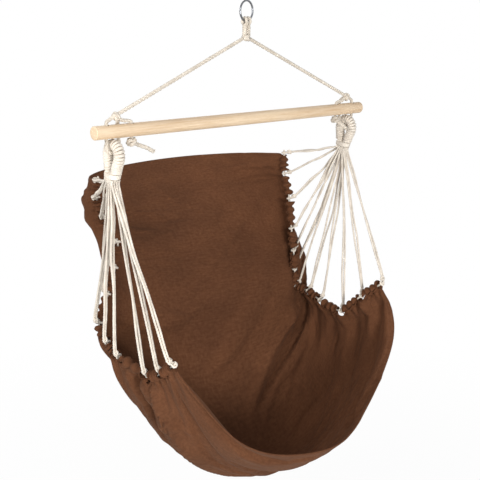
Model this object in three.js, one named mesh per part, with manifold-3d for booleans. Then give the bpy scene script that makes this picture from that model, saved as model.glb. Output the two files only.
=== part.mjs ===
// A hanging hammock chair: a steel ring, a rope sling, a round wooden spreader bar, and a
// cloth seat gathered on two edge cords that fans of doubled cords carry from the bar's ends.
// Millimetres, +Z up, +X to the sitter's left, the sitter faces -Y. The origin is the point
// inside the top of the ring that rests on the hook.
import * as THREE from 'three';
import { mergeVertices } from 'three/addons/utils/BufferGeometryUtils.js';
import Module from 'manifold-3d';

const wasm = await Module();
wasm.setup();

// Driving dimensions
const ringOuterDia = 60;
const ringWireDia = 5.5;
const ringToBar = 295;          // ring centre to bar axis
const ropeDia = 10.5;
const barLength = 1000;
const barDia = 35;
const barChamfer = 2.5;
const barHoleDia = 14;
const outerHoleFromEnd = 37;
const innerHoleFromEnd = 112;
const eyeFromEnd = 58;          // where each whipped eye hangs on its rope
const seatDrop = 1032;          // bar axis to the lowest point of the cloth
const seatReach = 400;          // how far the cloth reaches behind and in front of the bar
const seatHalfSpan = 400;       // half the distance between the two edge cords
const clothThickness = 2;
const clewDia = 5.5;            // one strand of a doubled cord
const clewCount = 12;           // doubled cords on each side
const stringerDia = 6;          // the cord along each side edge of the cloth
const clearance = 0.3;          // gap between touching pieces

// Rope crown
const crownEyeWidth = 24;       // along the ring's wire
const crownEyeGap = 0.5;        // wire to the rope laid over it
const crownNeckDia = 24;
const crownKnotDia = 28;
const crownLength = 42;         // ring wire to the centre of the knot below it
const crownPlaitSwell = 1.6;
const crownPlaitCount = 3;

// Knots on the suspension rope
const hitchFromEnd = 66;
const hitchAboveBar = 22;
const hitchDia = 26;
const hitchTurns = 3;
const stopperDia = 26;
const stopperTurns = 2;
const knotSwell = 2.5;
const stopperBelowBar = 0.6;
const tailDia = 9;
const leftTailReach = [66, 0, -30];
const rightTailReach = [-14, -34, -26];

// Whipped eye, collar and the cords leaving it
const eyeTubeDia = 26;
const eyeBend = 25;             // bend radius of the eye's middle line
const eyeToBar = 1;
const eyeLegSpread = 13;        // middle of each leg from the middle of the collar
const whippingDia = 4.4;
const whippingPitch = 9;
const collarBelowBar = 88;      // underside of the bar to the top of the collar
const collarHeight = 16;
const collarWidth = 47;         // along Y
const collarDepth = 32;         // along X
const collarRounding = 2;
const strandSpacing = 6.8;
const strandDrop = 6;           // straight run of the rearmost strands below the collar
const strandDropStep = 5;       // and what each of the next columns adds to it
const strandDropSteps = 2;
const clewSquareLean = 0.6;     // how far a clew's end turns square to the edge cord
const clewOutwardLean = 1;      // and how far out from the cloth
const clewKnotRise = 18;        // middle of a clew's knot above the edge cord
const clewKnotDia = 15;
const clewKnotLength = 17;

// Cloth
const notchDepth = 16;          // cut-out of the edge where a clew grips the edge cord
const notchShares = [1, 0.25, 0, 0.25];
const edgeGap = 2.2;            // between the edge cord and the cloth elsewhere
const foldHeight = 13;
const foldReach = 95;           // distance from the edge at which the folds stand highest
const stringerOverhang = 9;
// Places on the side edges: shares of seatHalfSpan, seatReach and seatDrop, top to front.
const leftEdgeShares = [
  [0.93, 0.470, -0.156], [0.937, 0.480, -0.205], [0.905, 0.437, -0.257], [0.87, 0.335, -0.322],
  [0.89, 0.345, -0.392], [0.94, 0.365, -0.465], [1.015, 0.375, -0.545], [1.03, 0.250, -0.585],
  [1.01, 0.145, -0.614], [1.005, -0.192, -0.624], [1.015, -0.367, -0.592], [1.035, -0.515, -0.549],
];
const rightEdgeShares = [
  [0.925, 0.508, -0.157], [0.93, 0.502, -0.225], [0.905, 0.412, -0.301], [0.88, 0.350, -0.395],
  [0.915, 0.350, -0.472], [0.97, 0.380, -0.543], [1.005, 0.395, -0.606], [1.02, 0.262, -0.612],
  [1.01, 0.112, -0.628], [1.005, -0.132, -0.637], [1.015, -0.328, -0.568], [1.035, -0.512, -0.510],
];
// The cloth's middle line: shares of seatReach and seatDrop, from the top hem to the front.
const middleShares = [
  [0.987, -0.148], [0.795, -0.272], [0.617, -0.400], [0.442, -0.531],
  [0.172, -0.718], [0.0, -0.969], [-0.612, -0.979], [-0.955, -0.834],
];
// How far each cross-section turns from its middle to an edge, as shares of a quarter turn.
const sectionTurnShares = [1.02, 1.15, 1.06, 1.12, 0.955];
const clothRows = 12;           // cells across the cloth
const rowsPerGather = 4;        // cells between two clews
const rowCrowdingShare = 0.08;

// Worked-out places
const wireRadius = ringWireDia / 2;
const ringRadius = (ringOuterDia - ringWireDia) / 2;
const ringCentreZ = ringWireDia - ringOuterDia / 2;
const wireZ = ringCentreZ - ringRadius;
const knotZ = wireZ - crownLength;
const barZ = ringCentreZ - ringToBar;
const barRadius = barDia / 2;
const ropeRadius = ropeDia / 2;
const hitchX = barLength / 2 - hitchFromEnd;
const hitchZ = barZ + barRadius + hitchAboveBar;
const outerHoleX = barLength / 2 - outerHoleFromEnd;
const innerHoleX = barLength / 2 - innerHoleFromEnd;
const stopperZ = barZ - barRadius - stopperBelowBar - stopperDia / 2;
const eyeX = barLength / 2 - eyeFromEnd;
const eyeRadius = eyeTubeDia / 2;
const eyeCentreZ = barZ - barRadius - eyeToBar - eyeRadius - eyeBend;
const bightZ = eyeCentreZ + eyeBend - eyeRadius - clearance - ropeRadius;
const collarTopZ = barZ - barRadius - collarBelowBar;
const collarBottomZ = collarTopZ - collarHeight;
const stringerRadius = stringerDia / 2;
const strandRadius = clewDia / 2;
const gathers = clewCount - 1;

const steel = new THREE.MeshStandardMaterial({ color: 0xb9bbbd, roughness: 0.25, metalness: 1 });
const rope = new THREE.MeshStandardMaterial({ color: 0xe6ddcd, roughness: 0.9, metalness: 0 });
const cordYarn = new THREE.MeshStandardMaterial({ color: 0xece4d6, roughness: 0.95, metalness: 0 });
const wood = new THREE.MeshStandardMaterial({ color: 0xdfc19a, roughness: 0.6, metalness: 0 });
const cloth = new THREE.MeshStandardMaterial({ color: 0x664229, roughness: 0.9, metalness: 0 });

const chair = new THREE.Group();

function addPiece(name, geometry, material) {
  const mesh = new THREE.Mesh(geometry, material);
  mesh.name = name;
  chair.add(mesh);
  return mesh;
}

const point = (x, y, z) => new THREE.Vector3(x, y, z);

// A smooth route whose tube gets its rings at the route's own points.
class Route extends THREE.CatmullRomCurve3 {
  getPointAt(u, target) { return this.getPoint(u, target); }

  getTangentAt(u, target) { return this.getTangent(u, target); }
}

function roundSection(radius, sides, flattening = 1) {
  const corners = [];
  for (let i = 0; i < sides; i += 1) {
    const angle = (2 * Math.PI * i) / sides;
    corners.push(new THREE.Vector2(radius * Math.cos(angle), radius * flattening * Math.sin(angle)));
  }
  return new THREE.Shape(corners);
}

function tube(points, radius, sides, ringsPerSpan = 1) {
  return new THREE.ExtrudeGeometry(roundSection(radius, sides), {
    steps: (points.length - 1) * ringsPerSpan,
    extrudePath: new Route(points, false, 'centripetal'),
  });
}

// Solids for joining and cutting
function toSolid(geometry) {
  const bare = geometry.clone();
  bare.deleteAttribute('normal');
  bare.deleteAttribute('uv');
  const merged = mergeVertices(bare);
  return new wasm.Manifold(new wasm.Mesh({
    numProp: 3,
    vertProperties: new Float32Array(merged.attributes.position.array),
    triVerts: new Uint32Array(merged.index.array),
  }));
}

function toGeometry(solid) {
  const mesh = solid.getMesh();
  const geometry = new THREE.BufferGeometry();
  geometry.setAttribute('position', new THREE.BufferAttribute(new Float32Array(mesh.vertProperties), 3));
  geometry.setIndex(new THREE.BufferAttribute(new Uint32Array(mesh.triVerts), 1));
  geometry.computeVertexNormals();
  return geometry;
}

const join = (first, ...others) => toGeometry(others.reduce((sum, g) => sum.add(toSolid(g)), toSolid(first)));
const cut = (body, ...tools) => toGeometry(tools.reduce((rest, g) => rest.subtract(toSolid(g)), toSolid(body)));

// Steel ring
function makeRing() {
  const ring = new THREE.TorusGeometry(ringRadius, wireRadius, 8, 28);
  ring.rotateX(Math.PI / 2);
  ring.translate(0, 0, ringCentreZ);
  addPiece('hanging_ring', ring, steel);
}

// Rope crown: the rope's middle laid over the ring's wire, and the plait and knot that bind it
function crownEye() {
  const bend = wireRadius + crownEyeGap + ropeRadius;
  const route = [point(0, -bend, -crownLength / 2)];
  const turns = 8;
  for (let i = 0; i <= turns; i += 1) {
    const angle = Math.PI * (1 - i / turns);
    route.push(point(0, bend * Math.cos(angle), bend * Math.sin(angle)));
  }
  route.push(point(0, bend, -crownLength / 2));
  const section = roundSection(crownEyeWidth / 2, 12, ropeDia / crownEyeWidth);
  const eye = new THREE.ExtrudeGeometry(section, {
    steps: route.length - 1,
    extrudePath: new FlatRoute(route),
  });
  return eye;
}

// A route in a plane square to X, whose section keeps its width along X all the way.
class FlatRoute extends Route {
  constructor(points) { super(points, false, 'centripetal'); }

  computeFrenetFrames(segments) {
    const frames = { tangents: [], normals: [], binormals: [] };
    for (let i = 0; i <= segments; i += 1) {
      const tangent = this.getTangent(i / segments, point(0, 0, 0));
      const normal = point(1, 0, 0);
      frames.tangents.push(tangent);
      frames.normals.push(normal);
      frames.binormals.push(tangent.clone().cross(normal));
    }
    return frames;
  }
}

function crownBody() {
  const top = -(wireRadius + crownEyeGap + ropeRadius);
  const knotRadius = crownKnotDia / 2;
  const outline = [new THREE.Vector2(0, top)];
  const plaitSteps = 4 * crownPlaitCount;
  const plaitEnd = -crownLength + knotRadius * Math.SQRT1_2;
  for (let i = 0; i <= plaitSteps; i += 1) {
    const swell = crownPlaitSwell * Math.sin((Math.PI * crownPlaitCount * i) / plaitSteps) ** 2;
    const height = top + ((plaitEnd - top) * i) / plaitSteps;
    outline.push(new THREE.Vector2(crownNeckDia / 2 - crownPlaitSwell + swell, height));
  }
  for (let i = 1; i <= 6; i += 1) {
    const angle = Math.PI / 4 - (i / 6) * (3 / 4) * Math.PI;
    outline.push(new THREE.Vector2(knotRadius * Math.cos(angle), -crownLength + knotRadius * Math.sin(angle)));
  }
  outline[outline.length - 1].x = 0;
  const body = new THREE.LatheGeometry(outline.reverse(), 14);
  body.rotateX(Math.PI / 2);
  return body;
}

function makeCrown() {
  const crown = join(crownBody(), crownEye());
  crown.translate(0, 0, wireZ);
  addPiece('rope_crown', crown, rope);
}

// Spreader bar: a turned rod, chamfered, with two rope holes near each end
function makeBar() {
  const half = barLength / 2;
  const outline = [
    new THREE.Vector2(0, -half),
    new THREE.Vector2(barRadius - barChamfer, -half),
    new THREE.Vector2(barRadius, -half + barChamfer),
    new THREE.Vector2(barRadius, half - barChamfer),
    new THREE.Vector2(barRadius - barChamfer, half),
    new THREE.Vector2(0, half),
  ];
  const rod = new THREE.LatheGeometry(outline, 28);
  rod.rotateZ(Math.PI / 2);
  const holes = [];
  for (const x of [-outerHoleX, -innerHoleX, innerHoleX, outerHoleX]) {
    const hole = new THREE.CylinderGeometry(barHoleDia / 2, barHoleDia / 2, 2 * barDia, 16);
    hole.rotateX(Math.PI / 2);
    hole.translate(x, 0, 0);
    holes.push(hole);
  }
  const bar = cut(rod, ...holes);
  bar.translate(0, 0, barZ);
  addPiece('spreader_bar', bar, wood);
}

// A knot: a tight ball of rope whose outline swells at each of its turns
function knot(diameter, turns, centre, axis, grow = 0) {
  const steps = 4 * turns;
  const outline = [];
  for (let i = 0; i <= steps; i += 1) {
    const angle = (Math.PI * i) / steps;
    const swell = knotSwell * (Math.sin(turns * angle) ** 2 - 1);
    const radius = diameter / 2 + grow + swell * Math.sin(angle);
    outline.push(new THREE.Vector2(radius * Math.sin(angle), -radius * Math.cos(angle)));
  }
  outline[0].x = 0;
  outline[steps].x = 0;
  const ball = new THREE.LatheGeometry(outline, 10);
  ball.applyQuaternion(new THREE.Quaternion().setFromUnitVectors(point(0, 1, 0), axis.clone().normalize()));
  ball.translate(centre.x, centre.y, centre.z);
  return ball;
}

// Suspension rope, hitch, lashing round the bar, end rope and stopper knot of one side
function makeRopeSide(name, side, tailReach) {
  const knotCentre = point(0, 0, knotZ);
  const hitch = point(side * hitchX, 0, hitchZ);
  const legDirection = hitch.clone().sub(knotCentre).normalize();
  const legStart = knotCentre.clone().addScaledVector(legDirection, crownKnotDia / 2 + clearance);
  const grownHitch = knot(hitchDia, hitchTurns, hitch, legDirection, clearance);
  addPiece(`hitch_knot_${name}`, knot(hitchDia, hitchTurns, hitch, legDirection), rope);
  const leg = tube([legStart, hitch], ropeRadius, 10);
  addPiece(`suspension_leg_${name}`, cut(leg, grownHitch), rope);

  const lashing = tube(lashingRoute(side, hitch), ropeRadius, 8);
  addPiece(`bar_lashing_${name}`, cut(lashing, grownHitch), rope);

  const stopper = point(side * innerHoleX, 0, stopperZ);
  const down = point(0, 0, -1);
  const endRope = tube(endRopeRoute(side, hitch, stopper), ropeRadius, 8);
  addPiece(`end_rope_${name}`, cut(endRope, grownHitch, knot(stopperDia, stopperTurns, stopper, down, clearance)), rope);
  const tailEnd = stopper.clone().add(point(-side * tailReach[0], tailReach[1], tailReach[2]));
  const tail = tube([stopper, tailEnd], tailDia / 2, 8);
  addPiece(`stopper_knot_${name}`, join(knot(stopperDia, stopperTurns, stopper, down), tail), rope);
}

// From the hitch down the outer hole, along X through the eye, and up behind the bar again
function lashingRoute(side, hitch) {
  const top = barZ + barRadius;
  const turn = (ropeRadius + ropeDia) * 0.9;
  const riserX = eyeX - eyeRadius - clearance - ropeRadius - ropeDia / 5;
  const round = barRadius + ropeRadius + ropeDia / 8;
  const place = (x, y, z) => point(side * x, y, z);
  return [
    hitch,
    place(outerHoleX - ropeDia, 0, top + hitchAboveBar - ropeRadius / 2),
    place(outerHoleX - ropeRadius / 3, 0, top + ropeDia),
    place(outerHoleX, 0, top + ropeDia / 4),
    place(outerHoleX, 0, barZ),
    place(outerHoleX, 0, bightZ + turn),
    place(outerHoleX - turn * (1 - Math.SQRT1_2), 0, bightZ + turn * (1 - Math.SQRT1_2)),
    place(outerHoleX - turn, 0, bightZ),
    place(eyeX, 0, bightZ),
    place(eyeX - ropeDia, 0, bightZ),
    place(riserX + ropeDia / 4, ropeDia / 4, bightZ + ropeDia / 3),
    place(riserX, ropeDia, bightZ + ropeDia * 1.4),
    ...[-60, -30, 0, 30, 55].map((degrees) => {
      const angle = THREE.MathUtils.degToRad(degrees);
      return place(riserX, round * Math.cos(angle), barZ + round * Math.sin(angle));
    }),
    place((riserX + hitchX) / 2, ropeDia * 1.2, top + hitchAboveBar / 2 + ropeRadius / 3),
    hitch,
  ];
}

// From the hitch along the bar's top, down the inner hole to the stopper knot
function endRopeRoute(side, hitch, stopper) {
  const top = barZ + barRadius;
  const place = (x, z) => point(side * x, 0, z);
  return [
    hitch,
    place(hitchX - ropeDia * 1.5, top + ropeDia * 1.4),
    place(innerHoleX + ropeDia * 1.3, top + ropeDia * 0.95),
    place(innerHoleX + ropeRadius, top + ropeDia * 0.8),
    place(innerHoleX + ropeRadius / 4, top + ropeDia / 4),
    place(innerHoleX, barZ + barRadius / 2),
    place(innerHoleX, barZ - barRadius / 2),
    stopper,
  ];
}

// Whipped eye: the middle line of the horseshoe, from one foot to the other, in the plane
// square to X
const eyeFootZ = collarTopZ + clearance;

function eyeRoute(side) {
  const place = (y, z) => point(side * eyeX, y, z);
  const legDrop = eyeCentreZ - eyeFootZ;
  const legShares = [[0, 0], [0.04, 0.18], [0.4, 0.48], [0.85, 0.76]];
  const leg = legShares.map(([out, up]) => [eyeLegSpread + out * (eyeBend - eyeLegSpread), eyeFootZ + up * legDrop]);
  const route = leg.map(([y, z]) => place(y, z));
  const turns = 6;
  for (let i = 0; i <= turns; i += 1) {
    const angle = (Math.PI * i) / turns;
    route.push(place(eyeBend * Math.cos(angle), eyeCentreZ + eyeBend * Math.sin(angle)));
  }
  return new Route([...route, ...leg.reverse().map(([y, z]) => place(-y, z))], false, 'centripetal');
}

const whippingStepsPerTurn = 8;
const whippingRadius = whippingDia / 2;
const whippingBend = eyeRadius - whippingRadius;
const coreRadius = whippingBend * Math.cos(Math.PI / whippingStepsPerTurn) - whippingRadius - clearance;

function makeEyeCore(name, side) {
  const line = new THREE.CatmullRomCurve3(eyeRoute(side).getSpacedPoints(18), false, 'centripetal');
  const core = new THREE.ExtrudeGeometry(roundSection(coreRadius, 8), { steps: 20, extrudePath: line });
  addPiece(`eye_core_${name}`, core, cordYarn);
}

// The whipping's route: an even helix round the eye, with both ends straight down to the collar
function whippingRoute(side) {
  const line = new THREE.CatmullRomCurve3(eyeRoute(side).getSpacedPoints(60), false, 'centripetal');
  const length = line.getLength();
  const endRun = whippingDia + clearance;
  const start = endRun + whippingRadius;
  const turns = Math.floor((length - 2 * start) / whippingPitch);
  const steps = turns * whippingStepsPerTurn;
  const route = [];
  for (let i = 0; i <= steps; i += 1) {
    const u = (start + ((length - 2 * start) * i) / steps) / length;
    const angle = (2 * Math.PI * i) / whippingStepsPerTurn;
    const along = line.getTangentAt(u);
    const outward = point(1, 0, 0).cross(along);
    route.push(line.getPointAt(u)
      .addScaledVector(outward, -whippingBend * Math.cos(angle))
      .add(point(side * whippingBend * Math.sin(angle), 0, 0)));
  }
  const first = route[0].clone().setZ(collarTopZ + clearance);
  const last = route[route.length - 1].clone().setZ(collarTopZ + clearance);
  return [first, ...route, last];
}

// Least clear distance between parts of a wound route that aren't neighbours along it
function leastSelfGap(route, diameter, skip) {
  let least = Infinity;
  for (let i = 0; i < route.length; i += 1) {
    for (let j = i + skip; j < route.length; j += 1) {
      least = Math.min(least, route[i].distanceTo(route[j]));
    }
  }
  return least - diameter;
}

function makeWhipping(name, side) {
  const route = whippingRoute(side);
  const gap = leastSelfGap(route, whippingDia, Math.floor(whippingStepsPerTurn / 2));
  console.log(`eye_whipping_${name}: least gap to itself ${gap.toFixed(2)} mm`);
  addPiece(`eye_whipping_${name}`, tube(route, whippingRadius, 5), cordYarn);
}

function makeCollar(name, side) {
  const inset = collarRounding;
  const halfWidth = collarWidth / 2 - inset;
  const halfDepth = collarDepth / 2 - inset;
  const shape = new THREE.Shape();
  shape.absarc(0, halfWidth - halfDepth, halfDepth, 0, Math.PI);
  shape.absarc(0, halfDepth - halfWidth, halfDepth, Math.PI, 2 * Math.PI);
  shape.closePath();
  const collar = new THREE.ExtrudeGeometry(shape, {
    depth: collarHeight - 2 * inset,
    bevelThickness: inset,
    bevelSize: inset,
    bevelSegments: 1,
    curveSegments: 6,
  });
  collar.translate(side * eyeX, 0, collarBottomZ + inset);
  addPiece(`clew_collar_${name}`, collar, cordYarn);
}

// The cloth as a rule: side edges, middle line, and a round section between them
const curveThrough = (points) => new THREE.CatmullRomCurve3(points, false, 'catmullrom', 0.5);

function edgeCurve(shares, side) {
  return curveThrough(shares.map(([x, y, z]) => point(
    side * x * seatHalfSpan,
    y * seatReach,
    barZ + z * seatDrop,
  )));
}

const leftEdge = edgeCurve(leftEdgeShares, -1);
const rightEdge = edgeCurve(rightEdgeShares, 1);
const middleLine = curveThrough(middleShares.map(([y, z]) => point(0, y * seatReach, barZ + z * seatDrop)));
const turnCurve = curveThrough(sectionTurnShares.map((share) => point(share, 0, 0)));

// A point of the cloth's middle layer, t from the top hem to the front, s from left to right
function clothPoint(t, s) {
  const left = leftEdge.getPoint(t);
  const right = rightEdge.getPoint(t);
  const middle = left.clone().lerp(right, 1 / 2);
  const sag = middleLine.getPoint(t).sub(middle);
  const turn = (turnCurve.getPoint(t).x * Math.PI) / 2;
  const angle = turn * (2 * s - 1);
  const across = Math.sin(angle) / Math.sin(turn);
  const depth = (Math.cos(angle) - Math.cos(turn)) / (1 - Math.cos(turn));
  return middle.addScaledVector(right.sub(left), across / 2).addScaledVector(sag, depth);
}

function sectionLength(t) {
  const steps = 24;
  let length = 0;
  let last = clothPoint(t, 0);
  for (let i = 1; i <= steps; i += 1) {
    const next = clothPoint(t, i / steps);
    length += next.distanceTo(last);
    last = next;
  }
  return length;
}

function clothNormal(t, s) {
  const step = 1 / 1000;
  const alongT = clothPoint(Math.min(t + step, 1), s).sub(clothPoint(Math.max(t - step, 0), s));
  const alongS = clothPoint(t, Math.min(s + step, 1)).sub(clothPoint(t, Math.max(s - step, 0)));
  return alongS.cross(alongT).normalize();
}

// Height of the gathered folds above the plain cloth, at a distance from the nearer edge
function foldLift(t, distance) {
  const share = distance / foldReach;
  return foldHeight * share * Math.exp(1 - share) * Math.sin(2 * Math.PI * gathers * t);
}

function foldedPoint(t, s, length) {
  const lift = foldLift(t, Math.min(s, 1 - s) * length - stringerRadius);
  return clothPoint(t, s).addScaledVector(clothNormal(t, s), lift);
}

// How far along its cross-section the cloth starts, to stay a distance from the edge cord
function edgeInset(edge, t, fromEdge, length, distance) {
  const near = [];
  const samples = 12;
  for (let i = -samples; i <= samples; i += 1) {
    near.push(edge.getPoint(THREE.MathUtils.clamp(t + i / (gathers * samples), 0, 1)));
  }
  let inset = distance;
  while (near.some((place) => place.distanceTo(foldedPoint(t, fromEdge(inset / length), length)) < distance)) {
    inset += clearance;
  }
  return inset;
}

function makeCloth() {
  const columns = gathers * rowsPerGather;
  const layers = [[], []];
  for (let i = 0; i <= columns; i += 1) {
    const t = i / columns;
    const length = sectionLength(t);
    const distance = stringerRadius + clothThickness + edgeGap + notchDepth * notchShares[i % rowsPerGather];
    const leftInset = edgeInset(leftEdge, t, (share) => share, length, distance);
    const rightInset = edgeInset(rightEdge, t, (share) => 1 - share, length, distance);
    for (let j = 0; j <= clothRows; j += 1) {
      const even = j / clothRows;
      const crowded = even - rowCrowdingShare * Math.sin(2 * Math.PI * even);
      const s = (leftInset + (length - leftInset - rightInset) * crowded) / length;
      const normal = clothNormal(t, s);
      const centre = foldedPoint(t, s, length);
      layers.forEach((layer, side) => {
        layer.push(centre.clone().addScaledVector(normal, ((2 * side - 1) * clothThickness) / 2));
      });
    }
  }
  addPiece('seat_cloth', closedSheet(layers, columns, clothRows), cloth);
}

// A closed sheet from two layers of points, each (columns + 1) by (rows + 1)
function closedSheet(layers, columns, rows) {
  const count = layers[0].length;
  const at = (i, j) => i * (rows + 1) + j;
  const faces = [];
  const quad = (a, b, c, d) => faces.push(a, b, c, a, c, d);
  for (let i = 0; i < columns; i += 1) {
    for (let j = 0; j < rows; j += 1) {
      const corners = [at(i, j), at(i + 1, j), at(i + 1, j + 1), at(i, j + 1)];
      quad(...corners);
      quad(...corners.reverse().map((k) => k + count));
    }
  }
  const rim = [];
  for (let i = 0; i < columns; i += 1) rim.push(at(i, 0));
  for (let j = 0; j < rows; j += 1) rim.push(at(columns, j));
  for (let i = columns; i > 0; i -= 1) rim.push(at(i, rows));
  for (let j = rows; j > 0; j -= 1) rim.push(at(0, j));
  rim.forEach((a, k) => {
    const b = rim[(k + 1) % rim.length];
    quad(a, a + count, b + count, b);
  });
  const geometry = new THREE.BufferGeometry().setFromPoints([...layers[0], ...layers[1]]);
  geometry.setIndex(faces);
  geometry.computeVertexNormals();
  return geometry;
}

function makeStringer(name, edge) {
  const columns = gathers * rowsPerGather;
  const route = [];
  for (let i = 0; i <= columns; i += 1) route.push(edge.getPoint(i / columns));
  const startDirection = route[0].clone().sub(route[1]).setLength(stringerOverhang);
  const endDirection = route[columns].clone().sub(route[columns - 1]).setLength(stringerOverhang);
  route.unshift(route[0].clone().add(startDirection));
  route.push(route[route.length - 1].clone().add(endDirection));
  addPiece(`stringer_${name}`, tube(route, stringerRadius, 8), cordYarn);
}

// Clews: doubled cords from the collar, looped round the edge cord and knotted above it
function makeClews(name, side, edge) {
  const collarCentre = point(side * eyeX, 0, collarBottomZ);
  const holds = [];
  for (let k = 0; k < clewCount; k += 1) {
    const t = k / gathers;
    const hold = edge.getPoint(t);
    const reach = hold.clone().sub(collarCentre);
    holds.push({ k, hold, along: edge.getTangent(t), fan: Math.atan2(reach.y, -reach.z) });
  }
  const byFan = [...holds].sort((a, b) => b.fan - a.fan);
  for (let column = 0; column < clewCount / 2; column += 1) {
    const y = ((clewCount / 2 - 1) / 2 - column) * strandSpacing;
    const drop = strandDrop + strandDropStep * Math.min(column, strandDropSteps);
    const pair = byFan.slice(2 * column, 2 * column + 2).sort((a, b) => side * (a.hold.x - b.hold.x));
    pair.forEach((entry, place) => {
      const middleX = eyeX + (2 * place - 1) * strandSpacing;
      const starts = [-1, 1].map((way) => point(
        side * (middleX + (way * strandSpacing) / 2),
        y,
        collarBottomZ - clearance,
      ));
      const label = String(entry.k + 1).padStart(2, '0');
      addPiece(`clew_${name}_${label}`, clewSolid(starts, drop, entry, side), cordYarn);
    });
  }
}

// A small overhand knot, drawn as a barrel
function clewKnot() {
  const end = (clewKnotDia / 2) * 0.8;
  const half = clewKnotLength / 2;
  const outline = [[0, -half], [end, -half], [clewKnotDia / 2, 0], [end, half], [0, half]];
  return new THREE.LatheGeometry(outline.map(([x, y]) => new THREE.Vector2(x, y)), 6);
}

function clewSolid([innerStart, outerStart], drop, { hold, along }, side) {
  const start = innerStart.clone().lerp(outerStart, 1 / 2).setZ(innerStart.z - drop);
  const pull = start.clone().sub(hold).normalize();
  const square = pull.clone().addScaledVector(along, -pull.dot(along)).normalize();
  const outward = along.clone().cross(square).normalize();
  if (outward.x * side < 0) outward.negate();
  const lean = pull.clone()
    .addScaledVector(square, clewSquareLean)
    .addScaledVector(outward, clewOutwardLean)
    .normalize();
  const knotCentre = hold.clone().addScaledVector(lean, clewKnotRise);
  const loop = (stringerRadius + strandRadius + clearance) / Math.cos(Math.PI / 8);
  const apart = strandRadius + clearance;
  const strand = (from, way) => [
    from,
    from.clone().setZ(from.z - drop),
    knotCentre.clone().addScaledVector(outward, way * apart).addScaledVector(lean, clewKnotLength / 4),
    hold.clone().addScaledVector(outward, way * loop).addScaledVector(square, strandRadius),
  ];
  const under = [-1, 0, 1].map((step) => {
    const angle = (step * Math.PI) / 4;
    return hold.clone()
      .addScaledVector(outward, loop * Math.sin(angle))
      .addScaledVector(square, -loop * Math.cos(angle));
  });
  const cord = tube([...strand(innerStart, -1), ...under, ...strand(outerStart, 1).reverse()], strandRadius, 8);
  const bead = clewKnot();
  bead.applyQuaternion(new THREE.Quaternion().setFromUnitVectors(point(0, 1, 0), lean));
  bead.translate(knotCentre.x, knotCentre.y, knotCentre.z);
  return join(cord, bead);
}

makeRing();
makeCrown();
makeBar();
makeRopeSide('left', -1, leftTailReach);
makeRopeSide('right', 1, rightTailReach);
for (const [name, side, edge] of [['left', -1, leftEdge], ['right', 1, rightEdge]]) {
  makeEyeCore(name, side);
  makeWhipping(name, side);
  makeCollar(name, side);
  makeStringer(name, edge);
  makeClews(name, side, edge);
}
makeCloth();

export default chair;
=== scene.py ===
# %% [markdown]
# # A hanging hammock chair
# A steel ring holds a rope sling, the sling carries a round wooden spreader bar, and a gathered
# cloth seat hangs from the bar's ends on two fans of doubled cords. This lesson dresses the packed
# solids of that chair: twisted rope, wound eyes, knots, grained wood and a ruffled cloth.
# Everything is in metres, +Z is up, and the origin is where the ring rests on its hook.

# %% Load the frame
import math

import bpy
import numpy as np
from mathutils import Matrix, Vector


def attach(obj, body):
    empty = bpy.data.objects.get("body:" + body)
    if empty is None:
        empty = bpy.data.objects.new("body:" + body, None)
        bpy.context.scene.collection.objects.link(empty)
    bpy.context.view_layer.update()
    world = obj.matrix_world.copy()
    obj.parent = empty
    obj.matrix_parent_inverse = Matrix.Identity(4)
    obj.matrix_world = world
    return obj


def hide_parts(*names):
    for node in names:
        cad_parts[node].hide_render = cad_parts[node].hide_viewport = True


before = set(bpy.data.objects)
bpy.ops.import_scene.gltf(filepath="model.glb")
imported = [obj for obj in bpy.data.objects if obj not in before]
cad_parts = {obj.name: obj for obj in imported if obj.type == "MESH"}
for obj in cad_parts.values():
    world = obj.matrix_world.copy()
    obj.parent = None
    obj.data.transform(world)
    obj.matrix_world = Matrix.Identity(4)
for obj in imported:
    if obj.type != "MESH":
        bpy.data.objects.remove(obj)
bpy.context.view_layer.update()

# %% [markdown]
# ## Sizes
# These are the chair's own sizes, the same as in the solids. A size that follows from others is
# worked out from them, so that the fine surfaces land on the solids they dress.

# %% Sizes
MM = 0.001
ring_outer_dia, ring_wire_dia = 60 * MM, 5.5 * MM
ring_centre_z = ring_wire_dia - ring_outer_dia / 2
ring_radius = (ring_outer_dia - ring_wire_dia) / 2
wire_z = ring_centre_z - ring_radius
bar_length, bar_dia, bar_chamfer, bar_hole_dia = 1.0, 35 * MM, 2.5 * MM, 14 * MM
bar_z = ring_centre_z - 295 * MM
bar_radius = bar_dia / 2
rope_dia = 10.5 * MM
rope_radius = rope_dia / 2
knot_z = wire_z - 42 * MM
crown_knot_dia = 28 * MM
hitch_x, hitch_z = bar_length / 2 - 66 * MM, bar_z + bar_radius + 22 * MM
outer_hole_x, inner_hole_x = bar_length / 2 - 37 * MM, bar_length / 2 - 112 * MM
stopper_dia = 26 * MM
stopper_z = bar_z - bar_radius - 0.6 * MM - stopper_dia / 2
eye_x = bar_length / 2 - 58 * MM
eye_radius, eye_bend, eye_to_bar, eye_leg_spread = 14.9 * MM, 24.5 * MM, 1 * MM, 15 * MM
eye_centre_z = bar_z - bar_radius - eye_to_bar - eye_radius - eye_bend
eye_lean = math.radians(9)
clearance = 0.3 * MM
bight_z = eye_centre_z + eye_bend - eye_radius - clearance - rope_radius
collar_top_z = bar_z - bar_radius - 88 * MM
collar_height, collar_width, collar_depth = 16 * MM, 50 * MM, 33 * MM
collar_bottom_z = collar_top_z - collar_height
clew_count = 12
gathers = clew_count - 1
strand_radius, stringer_radius = 2.75 * MM, 3 * MM
SIDES = (("left", -1), ("right", 1))


def leaned(places):
    """Places of the eye or collar, turned back about the rope that carries the eye."""
    p = np.asarray(places, float)
    y, z = p[..., 1], p[..., 2] - bight_z
    return np.stack([p[..., 0], y * math.cos(eye_lean) - z * math.sin(eye_lean),
                     bight_z + y * math.sin(eye_lean) + z * math.cos(eye_lean)], -1)


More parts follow.
